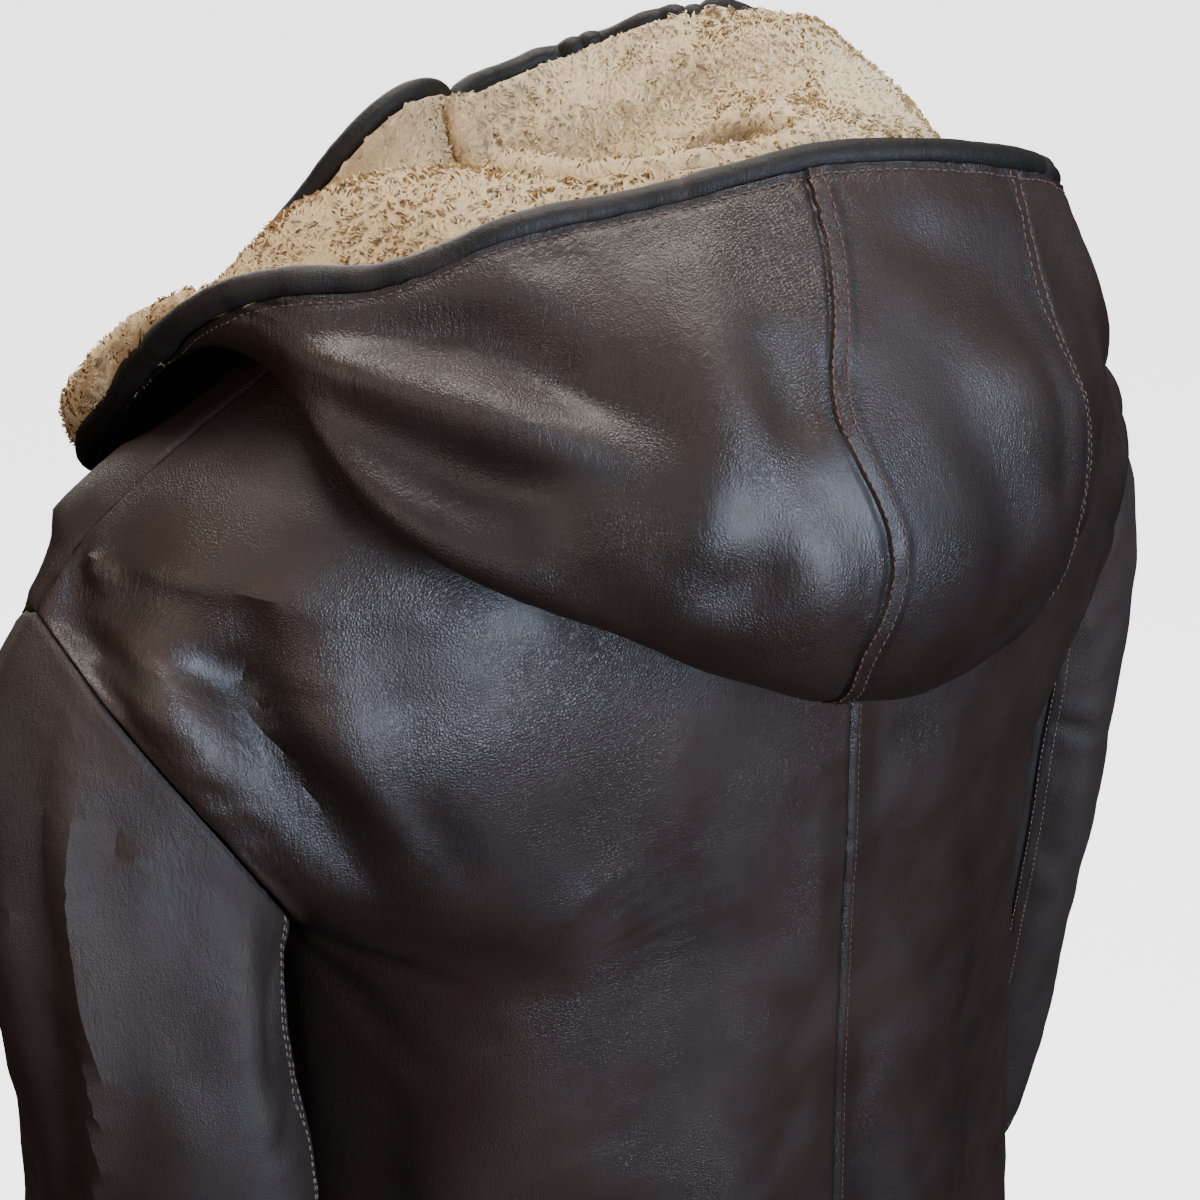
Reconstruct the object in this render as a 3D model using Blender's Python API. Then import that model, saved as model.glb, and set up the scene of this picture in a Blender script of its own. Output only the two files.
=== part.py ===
"""A leather coat with its fur-lined hood folded down on the back, hollow, as it is worn.

Metres, +Z up. The origin is the middle of the neck's base, the front faces -Y and the wearer's left is +X.
Each panel is a wall of even thickness through sections that are read from the short tables below.
"""

from math import pi, radians

import bmesh
import bpy
import numpy as np

LEATHER = 0.0016
SEAM_GAP = 0.0003
LINING_GAP = 0.0004
LINING_SEAM_GAP = 0.0012
ARMHOLE_GAP = 0.0008

# How finely the panels are divided.
PANEL_COLUMNS = 13
SHOULDER_ROWS = 8
SIDE_ROWS = 8
SLEEVE_HALF = 10
SLEEVE_HEAD_ROWS = 9
SLEEVE_ARM_ROWS = 8
HOOD_ROWS = 17
HOOD_SIDE_COLUMNS = 22
HOOD_CENTRE_COLUMNS = 6
# How much closer together a body panel's columns lie towards the armhole.
EDGE_CROWDING = 0.35


def table(names, rows):
    """A table's columns by name."""
    return dict(zip(names.split(), np.array(rows, float).T))


# The lines down the middle of the back and the front, and each level's full width.
# square is the section's exponent: 2 is an ellipse and more is squarer.
CENTRE = table(
    "level  back_y  back_z  front_y front_z  half_width  square",
    [
        (0, 0.064, 0.010, -0.080, -0.058, 0.074, 2.0),
        (1, 0.078, -0.008, -0.094, -0.070, 0.098, 2.0),
        (2, 0.094, -0.036, -0.108, -0.090, 0.140, 2.0),
        (3, 0.106, -0.066, -0.117, -0.112, 0.186, 2.1),
        (4, 0.114, -0.098, -0.122, -0.136, 0.230, 2.2),
        (5, 0.119, -0.130, -0.125, -0.160, 0.262, 2.3),
        (6, 0.122, -0.160, -0.127, -0.182, 0.284, 2.4),
        (7, 0.124, -0.185, -0.127, -0.202, 0.284, 2.4),
        (8, 0.125, -0.210, -0.127, -0.220, 0.271, 2.4),
        (9, 0.126, -0.235, -0.126, -0.240, 0.257, 2.4),
        (10, 0.127, -0.260, -0.125, -0.262, 0.245, 2.4),
        (11, 0.127, -0.290, -0.125, -0.290, 0.235, 2.4),
        (12, 0.128, -0.345, -0.124, -0.345, 0.225, 2.4),
        (13, 0.131, -0.430, -0.125, -0.430, 0.220, 2.4),
        (14, 0.137, -0.530, -0.131, -0.530, 0.224, 2.4),
        (15, 0.146, -0.650, -0.139, -0.650, 0.233, 2.3),
        (16, 0.158, -0.820, -0.150, -0.820, 0.248, 2.2),
    ],
)
# The panels' outer edges, on the wearer's left: shoulder seam, the armhole's two halves, and side seam.
SHOULDER = table(
    "level x y z",
    [
        (0, 0.074, 0.000, 0.004),
        (1, 0.098, -0.001, -0.006),
        (2, 0.140, -0.004, -0.025),
        (3, 0.186, -0.009, -0.048),
        (4, 0.230, -0.015, -0.074),
        (5, 0.262, -0.020, -0.099),
        (6, 0.280, -0.024, -0.122),
    ],
)
ARMHOLE_BACK = table(
    "level x y z",
    [
        (6, 0.280, -0.024, -0.122),
        (7, 0.277, 0.024, -0.146),
        (8, 0.259, 0.052, -0.184),
        (9, 0.239, 0.060, -0.220),
        (10, 0.220, 0.040, -0.250),
        (11, 0.210, 0.000, -0.266),
    ],
)
ARMHOLE_FRONT = table(
    "level x y z",
    [
        (6, 0.280, -0.024, -0.122),
        (7, 0.268, -0.066, -0.146),
        (8, 0.248, -0.086, -0.184),
        (9, 0.232, -0.080, -0.222),
        (10, 0.216, -0.046, -0.252),
        (11, 0.210, 0.000, -0.266),
    ],
)
SIDE = table(
    "level x y z",
    [
        (11, 0.210, 0.000, -0.266),
        (12, 0.206, 0.000, -0.338),
        (13, 0.209, 0.000, -0.430),
        (14, 0.218, 0.000, -0.530),
        (15, 0.230, 0.000, -0.650),
        (16, 0.246, 0.000, -0.820),
    ],
)
ARMHOLE_TOP, UNDERARM, HEM = 6, 11, 16
# A panel's depth is drawn to its outer edge only near that edge: the power of the share of the way there.
EDGE_PULL = 6

# Sections of the hanging sleeve by depth below the neck; outer and inner are its half widths along X.
SLEEVE = table(
    "depth  centre_x centre_y  outer  inner  half_y",
    [
        (0.29, 0.261, 0.010, 0.055, 0.042, 0.080),
        (0.36, 0.262, 0.008, 0.057, 0.043, 0.083),
        (0.45, 0.268, 0.000, 0.056, 0.044, 0.080),
        (0.55, 0.279, -0.012, 0.053, 0.044, 0.074),
        (0.66, 0.292, -0.030, 0.050, 0.042, 0.066),
    ],
)
HEAD_DEPTH, CUFF_DEPTH = 0.36, 0.66
# The sleeve's two seams, in quarter turns from its outer side: 1 is the back, 2 the inside, 3 the front.
SLEEVE_BACK_SEAM, SLEEVE_FRONT_SEAM = 1.4, 2.8
RIGHT_SLEEVE_FORWARD = 0.036
# The way a sleeve leaves the armhole: outwards, to the back and down, and how strongly, each with what
# is added at the armhole's top.
LEAVING_OUT, LEAVING_OUT_TOP = 0.35, 0.30
LEAVING_BACK = 0.10
LEAVING_DOWN, LEAVING_DOWN_TOP = -0.95, 0.25
LEAVING_REACH, LEAVING_REACH_TOP = 0.9, 0.25

# Sections of the hood by plan angle, 90 at the middle of the back: radius and height of its wall a
# third of the way under, at its lowest fold, at its outer bulge and at its face edge. From -55 to -10
# and at 180 it lies open like a collar, and at the front it stands up.
HOOD = table(
    "angle  under_r under_z  fold_r fold_z  bulge_r bulge_z  edge_r edge_z",
    [
        (-90, 0.112, -0.054, 0.127, -0.038, 0.140, -0.019, 0.152, -0.001),
        (-72, 0.111, -0.044, 0.126, -0.030, 0.139, -0.016, 0.149, -0.004),
        (-55, 0.112, -0.022, 0.140, -0.030, 0.176, -0.078, 0.205, -0.092),
        (-38, 0.116, -0.010, 0.152, -0.030, 0.198, -0.098, 0.230, -0.126),
        (-24, 0.119, 0.000, 0.158, -0.016, 0.202, -0.062, 0.232, -0.094),
        (-10, 0.121, 0.004, 0.154, -0.010, 0.184, -0.034, 0.214, -0.044),
        (-2, 0.122, 0.000, 0.163, -0.024, 0.190, -0.040, 0.214, -0.024),
        (6, 0.124, -0.005, 0.176, -0.040, 0.202, -0.038, 0.202, -0.006),
        (16, 0.124, -0.013, 0.188, -0.058, 0.210, -0.046, 0.178, -0.001),
        (26, 0.122, -0.024, 0.192, -0.078, 0.208, -0.058, 0.158, 0.014),
        (40, 0.120, -0.036, 0.186, -0.104, 0.208, -0.068, 0.134, 0.024),
        (60, 0.116, -0.048, 0.174, -0.138, 0.208, -0.078, 0.124, 0.034),
        (80, 0.114, -0.054, 0.166, -0.162, 0.204, -0.084, 0.124, 0.039),
        (100, 0.114, -0.054, 0.166, -0.160, 0.196, -0.084, 0.136, 0.033),
        (120, 0.116, -0.048, 0.166, -0.146, 0.187, -0.078, 0.152, 0.018),
        (140, 0.120, -0.036, 0.172, -0.110, 0.186, -0.066, 0.164, -0.002),
        (158, 0.122, -0.016, 0.172, -0.064, 0.194, -0.052, 0.178, -0.016),
        (170, 0.120, 0.000, 0.158, -0.028, 0.184, -0.042, 0.205, -0.030),
        (182, 0.116, 0.008, 0.150, -0.002, 0.176, -0.024, 0.194, -0.052),
        (200, 0.112, 0.010, 0.134, 0.024, 0.156, 0.022, 0.172, 0.004),
        (220, 0.110, -0.004, 0.126, 0.016, 0.142, 0.026, 0.156, 0.030),
        (244, 0.112, -0.032, 0.128, -0.012, 0.142, 0.002, 0.157, 0.012),
        (270, 0.112, -0.054, 0.127, -0.038, 0.140, -0.019, 0.152, -0.001),
    ],
)
HOOD_START, HOOD_END = -90, 270
HOOD_EDGE = 0.985
# The hood's two ends stop this far from the middle of the front, and it stays this far off the coat.
HOOD_END_X = 0.0145
HOOD_CLEARANCE = 0.004
HOOD_EDGE_CLEARANCE = 0.010
# The clearance grows from the neck seam to here, and again from here to the face edge.
CLEAR_FROM, EDGE_FROM = 0.12, 0.8
# Hood points further from the coat than this aren't moved.
COAT_REACH = 0.06
# Here the hood turns from a collar that lies open into the hanging bag, and its wall is evened out.
TURNING_ANGLES = (-2, 170)
TURNING_WIDTH = 16
TURNING_PASSES = 1
TURNING_DENSITY = 1.5
# The two seams beside the hood's centre strip: along is 0 at the neck and 1 at the face edge.
HOOD_SEAMS = table(
    "along left right",
    [
        (0.00, 76, 104),
        (0.40, 70, 108),
        (0.52, 69, 110),
        (0.60, 70, 110),
        (0.66, 70, 109),
        (0.72, 72, 108),
        (0.78, 71, 107),
        (0.84, 68, 106),
        (0.92, 71, 108),
        (1.00, 72, 114),
    ],
)
# Thickness of the fur lining, thinner where the folded hood presses it together.
FUR = table(
    "along thickness",
    [
        (0.0, 0.008),
        (0.2, 0.007),
        (0.4, 0.004),
        (0.6, 0.0035),
        (0.8, 0.0035),
        (1.0, 0.008),
    ],
)
# The share of its thickness that it loses where the hood turns.
TURNING_PRESS = 0.4
BINDING_RADIUS = 0.0052
BINDING_GAP = 0.0006
BINDING_STEP = 0.0085
RIM_SHARES = 5
RIM_PASSES = 4
BINDING_SIDES = 8

# Folds: where each starts and ends on its surface, its half width and its depth (minus stands out).
BACK_FOLDS = table(
    "across0 level0 across1 level1 half_width depth",
    [
        (0.74, 6.2, 0.97, 8.8, 0.012, 0.010),
        (0.86, 6.3, 0.97, 7.9, 0.012, -0.004),
        (0.45, 9.0, 0.50, 16.0, 0.040, 0.006),
        (0.72, 11.0, 0.66, 16.0, 0.030, -0.006),
        (0.20, 12.0, 0.22, 16.0, 0.030, -0.004),
    ],
)
FRONT_FOLDS = table(
    "across0 level0 across1 level1 half_width depth",
    [
        (0.82, 6.4, 0.90, 10.6, 0.016, 0.010),
        (0.50, 8.0, 0.48, 16.0, 0.040, 0.006),
        (0.72, 11.0, 0.70, 16.0, 0.030, -0.005),
    ],
)
SLEEVE_FOLDS = table(
    "turn0 along0 turn1 along1 half_width depth",
    [
        (3.80, 0.30, 3.70, 2.00, 0.012, 0.004),
        (1.10, 0.60, 1.00, 1.30, 0.018, -0.004),
        (2.60, 1.05, 3.40, 1.15, 0.016, 0.006),
        (2.70, 1.25, 3.30, 1.30, 0.014, 0.005),
    ],
)
HOOD_FOLDS = table(
    "angle0 along0 angle1 along1 half_width depth",
    [
        (14, 0.84, 44, 0.70, 0.016, 0.012),
        (17, 0.71, 40, 0.62, 0.014, -0.005),
        (60, 0.90, 52, 0.72, 0.016, -0.004),
        (84, 0.92, 92, 0.66, 0.018, 0.004),
        (118, 0.96, 136, 0.70, 0.014, -0.004),
        (138, 0.90, 140, 0.60, 0.020, 0.003),
    ],
)
FOLD_STEPS = 24
# A fold keeps this share of its length before it has all but ended, and fades with this power.
FOLD_TIP = 0.04
FOLD_FADE = 0.5
# Two walls at a seam share a normal down to this cosine between it and their own.
SHARPEST_SHARED = 0.6

PLACKET_WIDTH = 0.044
PLACKET_COLUMNS = 5
PLACKET_TOP_LEVEL = 0.5
# The strip lies this far off the front, whose columns it reads at this share of their angle.
PLACKET_LIFT = 0.0005
PLACKET_REACH = 0.66
BUTTON_LIFT = 0.0004
BUTTON_LEVELS = (1.6, 4.6, 8.6, 12.2, 13.6, 14.9)
BUTTON_RADIUS = 0.0125
BUTTON_SIDES = 16
# A button's outline from its middle outwards, as shares of its radius, and heights above the strip.
BUTTON_PROFILE = ((0.62, 0.0024), (0.78, 0.0040), (0.94, 0.0036), (1.0, 0.0022), (0.92, 0.0))


def spline(keys, values, at):
    """Natural cubic spline through values (a row for each key), read at any array of places."""
    values = np.asarray(values, float)
    count = len(keys)
    step = np.diff(keys)
    matrix, right = np.eye(count), np.zeros_like(values)
    for i in range(1, count - 1):
        matrix[i, i - 1 : i + 2] = step[i - 1], 2 * (step[i - 1] + step[i]), step[i]
        right[i] = 6 * ((values[i + 1] - values[i]) / step[i] - (values[i] - values[i - 1]) / step[i - 1])
    bend = np.linalg.solve(matrix, right)
    at = np.clip(at, keys[0], keys[-1])
    i = np.clip(np.searchsorted(keys, at, side="right") - 1, 0, count - 2)
    width = step[i]
    a = (keys[i + 1] - at) / width
    b = 1 - a
    if values.ndim > 1:
        a, b, width = a[..., None], b[..., None], width[..., None]
    curve = ((a**3 - a) * bend[i] + (b**3 - b) * bend[i + 1]) * width**2 / 6
    return a * values[i] + b * values[i + 1] + curve


def read(columns, names, at):
    """The named columns of a table at any places along its first column, one array for each name."""
    keys = next(iter(columns.values()))
    values = np.stack([columns[name] for name in names.split()], -1)
    return np.moveaxis(spline(keys, values, np.asarray(at, float)), -1, 0)


def unit(vectors):
    return vectors / np.maximum(np.linalg.norm(vectors, axis=-1, keepdims=True), 1e-12)


def edge_point(back, level):
    """The outer edge of a back or front panel."""
    point = np.empty(level.shape + (3,))
    armhole = ARMHOLE_BACK if back else ARMHOLE_FRONT
    stretches = ((SHOULDER, 0, ARMHOLE_TOP), (armhole, ARMHOLE_TOP, UNDERARM), (SIDE, UNDERARM, HEM))
    for line, first, last in stretches:
        here = (level >= first) & (level <= last)
        if here.any():
            point[here] = np.stack(read(line, "x y z", level[here]), -1)
    return point


def body_point(back, across, level):
    """A point of the left back or front: across is 0 at the middle line and 1 at the outer edge."""
    across, level = np.broadcast_arrays(across, np.asarray(level, float))
    side = "back" if back else "front"
    middle_y, middle_z, half_width, square = read(CENTRE, f"{side}_y {side}_z half_width square", level)
    edge = edge_point(back, level)
    half_width = np.maximum(half_width, edge[..., 0])
    share = edge[..., 0] / half_width
    depth_at_edge = np.maximum(1 - share**square, 0) ** (1 / square)
    turn = np.arctan2(share, depth_at_edge) * across
    reach = (np.sin(turn) ** square + np.cos(turn) ** square) ** (-1 / square)
    x = half_width * reach * np.sin(turn)
    to_edge = x / edge[..., 0]
    y = middle_y * reach * np.cos(turn) + (edge[..., 1] - middle_y * depth_at_edge) * to_edge**EDGE_PULL
    z = middle_z + (edge[..., 2] - middle_z) * to_edge**2
    return np.stack([x, y, z], -1)


def armhole_level(share):
    """The level on the armhole, from 0 at its top to 1 at the underarm, closer together at both ends."""
    eased = 0.5 * share + 0.25 * (1 - np.cos(share * pi))
    return ARMHOLE_TOP + (UNDERARM - ARMHOLE_TOP) * eased


def hanging_sleeve(turn, depth, forward):
    centre_x, centre_y, outer, inner, half_y = read(SLEEVE, "centre_x centre_y outer inner half_y", depth)
    half_x = np.where(np.cos(turn) > 0, outer, inner)
    x = centre_x + half_x * np.cos(turn)
    y = centre_y - forward + half_y * np.sin(turn)
    return np.stack([x, y, -depth], -1)


def sleeve_point(turns, along, forward=0.0):
    """turns: quarter turns from the outer side; along: 0 at the armhole, 1 where it hangs, 2 at the cuff."""
    turns, along = np.broadcast_arrays(np.asarray(turns, float) % 4, np.asarray(along, float))
    on_back = turns <= 2
    level = armhole_level(np.where(on_back, turns, 4 - turns) / 2)
    start = np.where(on_back[..., None], edge_point(True, level), edge_point(False, level))
    angle = turns * pi / 2
    end = hanging_sleeve(angle, np.full(angle.shape, HEAD_DEPTH), forward)
    top = (1 + np.cos(angle)) / 2
    outwards, down = LEAVING_OUT + LEAVING_OUT_TOP * top**2, LEAVING_DOWN + LEAVING_DOWN_TOP * top
    leaving = unit(np.stack([outwards, LEAVING_BACK * np.sin(angle), down], -1))
    reach = np.linalg.norm(end - start, axis=-1)[..., None]
    leaving = leaving * reach * (LEAVING_REACH + LEAVING_REACH_TOP * top)[..., None]
    arriving = reach * np.array([0, 0, -1.0])
    t = np.clip(along, 0, 1)[..., None]
    head = (2 * t**3 - 3 * t**2 + 1) * start + (t**3 - 2 * t**2 + t) * leaving
    head += (3 * t**2 - 2 * t**3) * end + (t**3 - t**2) * arriving
    depth = HEAD_DEPTH + (CUFF_DEPTH - HEAD_DEPTH) * np.clip(along - 1, 0, 1)
    return np.where((along <= 1)[..., None], head, hanging_sleeve(angle, depth, forward))


def neck_ring(angle):
    """Radius and height of the neck seam at a plan angle in radians."""
    side_x, side_z = SHOULDER["x"][0], SHOULDER["z"][0]
    back = np.sin(angle) >= 0
    middle_y = np.where(back, CENTRE["back_y"][0], -CENTRE["front_y"][0])
    middle_z = np.where(back, CENTRE["back_z"][0], CENTRE["front_z"][0])
    radius = 1 / np.hypot(np.cos(angle) / side_x, np.sin(angle) / middle_y)
    share = radius * np.cos(angle) / side_x
    return radius, middle_z + (side_z - middle_z) * share**2


def hood_point(angle, along):
    """A point of the hood's leather: plan angle in degrees, along 0 at the neck seam and 1 at the edge."""
    angle, along = np.broadcast_arrays(np.asarray(angle, float), np.asarray(along, float))
    neck_r, neck_z = neck_ring(np.radians(angle))
    radii = np.stack([neck_r, *read(HOOD, "under_r fold_r bulge_r edge_r", angle)], -1)
    heights = np.stack([neck_z + SEAM_GAP, *read(HOOD, "under_z fold_z bulge_z edge_z", angle)], -1)
    shares = spline(np.linspace(0, 1, radii.shape[-1]), np.eye(radii.shape[-1]), along)
    radius, height = (radii * shares).sum(-1), (heights * shares).sum(-1)
    x, y = radius * np.cos(np.radians(angle)), radius * np.sin(np.radians(angle))
    return np.stack([x, y, height], -1)


def grid_normals(points, flip=False):
    """Unit normals of a grid of points [row, column]."""
    along, across = np.gradient(points, axis=0), np.gradient(points, axis=1)
    normal = unit(np.cross(along, across))
    return -normal if flip else normal


def fold_depth(points, surface, folds):
    """How far each point moves in: every fold fades out across its half width and towards both its ends."""
    total = np.zeros(points.shape[:-1])
    share = np.linspace(0, 1, FOLD_STEPS)
    for a0, b0, a1, b1, half_width, depth in zip(*folds.values()):
        line = surface(a0 + (a1 - a0) * share, b0 + (b1 - b0) * share)
        distance = np.linalg.norm(points[..., None, :] - line, axis=-1)
        nearest = share[distance.argmin(-1)]
        strength = np.sin(pi * np.clip(nearest, FOLD_TIP, 1 - FOLD_TIP)) ** FOLD_FADE
        total += depth * strength * np.exp(-((distance.min(-1) / half_width) ** 2))
    return total


def folded(points, surface, folds, flip=False):
    """A grid of points moved by its folds, with its new normals."""
    moved = fold_depth(points, surface, folds)
    points = points - grid_normals(points, flip) * moved[..., None]
    return points, grid_normals(points, flip)


def merged_normals(grids):
    """Normals shared along seams, so that walls on both sides of one lean alike, but not in a sharp crease."""
    number_at, sums, numbers = {}, [], []
    for points, normals in grids:
        mine = []
        for place, normal in zip(np.round(points.reshape(-1, 3), 5) + 0.0, normals.reshape(-1, 3)):
            number = number_at.setdefault(tuple(place), len(sums))
            if number == len(sums):
                sums.append(np.zeros(3))
            sums[number] = sums[number] + normal
            mine.append(number)
        numbers.append(mine)
    averages = unit(np.array(sums))
    merged = []
    for mine, (_, normals) in zip(numbers, grids):
        shared = averages[mine].reshape(normals.shape)
        crease = (shared * normals).sum(-1, keepdims=True) < SHARPEST_SHARED
        merged.append(np.where(crease, normals, shared))
    return merged


def trim(points, gap=SEAM_GAP, first_row_gap=None):
    """Draws each edge of a grid back along the wall by half a seam's gap."""
    points = points.copy()
    for axis in (0, 1):
        lines = np.moveaxis(points, axis, 0)
        for end, neighbour in ((0, 1), (-1, -2)):
            here = first_row_gap if first_row_gap and (axis, end) == (0, 0) else gap
            lines[end] += unit(lines[neighbour] - lines[end]) * here / 2
    return points


def add_object(name, verts, faces, material):
    mesh = bpy.data.meshes.new(name)
    mesh.from_pydata([tuple(vert) for vert in verts], [], faces)
    shape = bmesh.new()
    shape.from_mesh(mesh)
    bmesh.ops.recalc_face_normals(shape, faces=shape.faces)
    shape.to_mesh(mesh)
    shape.free()
    mesh.shade_smooth()
    mesh.set_sharp_from_angle(angle=radians(40))
    mesh.materials.append(material)
    obj = bpy.data.objects.new(name, mesh)
    bpy.context.scene.collection.objects.link(obj)
    return obj


def add_wall(name, outer, inner, material):
    """A closed wall between two grids of the same size."""
    rows, columns = outer.shape[:2]
    top = np.arange(rows * columns).reshape(rows, columns)
    under = top + rows * columns
    faces = []
    for i in range(rows - 1):
        for j in range(columns - 1):
            # Both sides are parted along the same diagonal, so that walls that lie close stay apart.
            for b, c in (((i, j + 1), (i + 1, j + 1)), ((i + 1, j + 1), (i + 1, j))):
                faces.append((top[i, j], top[b], top[c]))
                faces.append((under[i, j], under[c], under[b]))
    edges = ((top[0], under[0]), (top[-1], under[-1]), (top[:, 0], under[:, 0]), (top[:, -1], under[:, -1]))
    for line, below in edges:
        faces += zip(line[:-1], line[1:], below[1:], below[:-1])
    verts = np.concatenate([outer.reshape(-1, 3), inner.reshape(-1, 3)])
    return add_object(name, verts, [tuple(map(int, face)) for face in faces], material)


def add_rod(name, path, radius, sides, material):
    """A round rod with flat ends along a path of points."""
    forward = unit(np.gradient(path, axis=0))
    level = np.cross(forward, (0, 0, 1))
    for number in range(1, len(path)):
        level[number] = level[number - 1] - forward[number] * (level[number - 1] @ forward[number])
        level[number] = unit(level[number])
    level[0] = unit(level[0])
    over = np.cross(level, forward)
    turn = np.linspace(0, 2 * pi, sides, endpoint=False)[None, :, None]
    rings = path[:, None] + radius * (np.cos(turn) * level[:, None] + np.sin(turn) * over[:, None])
    faces = [tuple(range(sides)), tuple(range((len(path) - 1) * sides, len(path) * sides))]
    for i in range(len(path) - 1):
        for j in range(sides):
            a, b = i * sides + j, i * sides + (j + 1) % sides
            faces.append((a, b, b + sides, a + sides))
    return add_object(name, rings.reshape(-1, 3), faces, material)


def make_material(name, colour, roughness):
    material = bpy.data.materials.new(name)
    material.use_nodes = True
    shader = material.node_tree.nodes["Principled BSDF"]
    shader.inputs["Base Color"].default_value = (*colour, 1)
    shader.inputs["Roughness"].default_value = roughness
    shader.inputs["Metallic"].default_value = 0
    return material


def body_levels():
    shoulder = np.linspace(0, ARMHOLE_TOP, SHOULDER_ROWS + 1)
    armhole = armhole_level(np.linspace(0, 1, SLEEVE_HALF + 1))
    side = np.linspace(UNDERARM, HEM, SIDE_ROWS + 1)
    return np.concatenate([shoulder, armhole[1:], side[1:]])


def body_across():
    """Columns closer together towards the armhole, where the folds are narrow."""
    even = np.linspace(0, 1, PANEL_COLUMNS)
    return (1 + EDGE_CROWDING) * even - EDGE_CROWDING * even**2


def on_side(vectors, sign):
    """Vectors of the left side as they are, or mirrored to the right one."""
    return vectors * np.array([sign, 1, 1])


def panel_grid(back, levels, across):
    """Outer points and normals of a left panel; its edge points stay where the other panels' are."""
    points = body_point(back, across, levels)
    folds = BACK_FOLDS if back else FRONT_FOLDS
    moved, _ = folded(points, lambda a, b: body_point(back, a, b), folds, flip=back)
    moved[:, [0, -1]] = points[:, [0, -1]]
    return moved, grid_normals(moved, flip=back)


def sleeve_grid(turns, along, forward):
    points = sleeve_point(turns, along, forward)
    moved, _ = folded(points, lambda a, b: sleeve_point(a, b, forward), SLEEVE_FOLDS)
    moved[0] = points[0]
    moved[:, -1] = moved[:, 0]
    return moved, grid_normals(moved)


def coat_walls():
    """Outer and inner points of the four body panels and the two whole sleeves, by name."""
    levels, across = body_levels()[:, None], body_across()[None, :]
    turns = np.arange(2 * SLEEVE_HALF + 1)[None, :] * 2 / SLEEVE_HALF
    head, arm = np.linspace(0, 1, SLEEVE_HEAD_ROWS), np.linspace(1, 2, SLEEVE_ARM_ROWS)
    along = np.concatenate([head, arm[1:]])[:, None]
    grids = {}
    for side, sign, forward in (("left", 1, 0.0), ("right", -1, RIGHT_SLEEVE_FORWARD)):
        sources = {
            "back_" + side: panel_grid(True, levels, across),
            "front_" + side: panel_grid(False, levels, across),
            "sleeve_" + side: sleeve_grid(turns, along, forward),
        }
        for name, (points, normals) in sources.items():
            grids[name] = (on_side(points, sign), on_side(normals, sign))
    shared = merged_normals(list(grids.values()))
    return {
        name: (points, points - normals * LEATHER, normals)
        for (name, (points, _)), normals in zip(grids.items(), shared)
    }


def build_body(walls, leather):
    for name in ("back_left", "back_right", "front_left", "front_right"):
        outer, inner, _ = walls[name]
        add_wall(name, trim(outer), trim(inner), leather)


def build_sleeves(walls, leather):
    """Each sleeve's tube, parted at its two seams."""
    around = 2 * SLEEVE_HALF
    first = round(SLEEVE_BACK_SEAM * SLEEVE_HALF / 2)
    last = round(SLEEVE_FRONT_SEAM * SLEEVE_HALF / 2)
    parts = {"under": np.arange(first, last + 1), "upper": np.arange(last, first + around + 1) % around}
    for side in ("left", "right"):
        outer, inner, _ = walls["sleeve_" + side]
        for part, columns in parts.items():
            faces = [trim(points[:, columns], first_row_gap=ARMHOLE_GAP) for points in (outer, inner)]
            add_wall(f"sleeve_{side}_{part}", *faces, leather)


def lifted(points, along, walls):
    """Hood points moved out wherever they would come nearer to the coat than the hood lies."""
    coat = np.concatenate([outer.reshape(-1, 3) for outer, _, _ in walls.values()])
    normals = np.concatenate([normal.reshape(-1, 3) for _, _, normal in walls.values()])
    distance = np.linalg.norm(points[..., None, :] - coat, axis=-1)
    nearest = distance.argmin(-1)
    height = ((points - coat[nearest]) * normals[nearest]).sum(-1)
    wanted = HOOD_CLEARANCE * np.clip(along / CLEAR_FROM, 0, 1)
    at_edge = np.clip((along - EDGE_FROM) / (1 - EDGE_FROM), 0, 1)
    wanted = wanted + (HOOD_EDGE_CLEARANCE - HOOD_CLEARANCE) * at_edge
    missing = np.where(distance.min(-1) < COAT_REACH, np.maximum(wanted - height, 0), 0)
    return points + normals[nearest] * missing[..., None]


def hood_end(along, sign, distance):
    """Plan angles at which each section passes a distance from the middle of the front."""
    middle = HOOD_START if sign > 0 else HOOD_END
    radius = np.linalg.norm(hood_point(middle, along)[..., :2], axis=-1)
    return middle + sign * np.degrees(np.arcsin(distance / radius))


def turning(angle):
    """How far a plan angle lies in the places where the hood turns, up to 1."""
    return sum(np.exp(-(((angle - middle) / TURNING_WIDTH) ** 2)) for middle in TURNING_ANGLES)


def even_shares(first, last, count):
    """Shares of the way between two plan angles, part by angle and part by length along the face edge."""
    share = np.linspace(0, 1, FOLD_STEPS * 4)
    line = hood_point(first + (last - first) * share, 1.0)
    lengths = np.insert(np.cumsum(np.linalg.norm(np.diff(line, axis=0), axis=1)), 0, 0)
    density = np.insert(np.cumsum(1 + TURNING_DENSITY * turning(first + (last - first) * share[1:])), 0, 0)
    mixed = (lengths / lengths[-1] + density / density[-1]) / 2
    return np.interp(np.linspace(0, 1, count), mixed, share)


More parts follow.
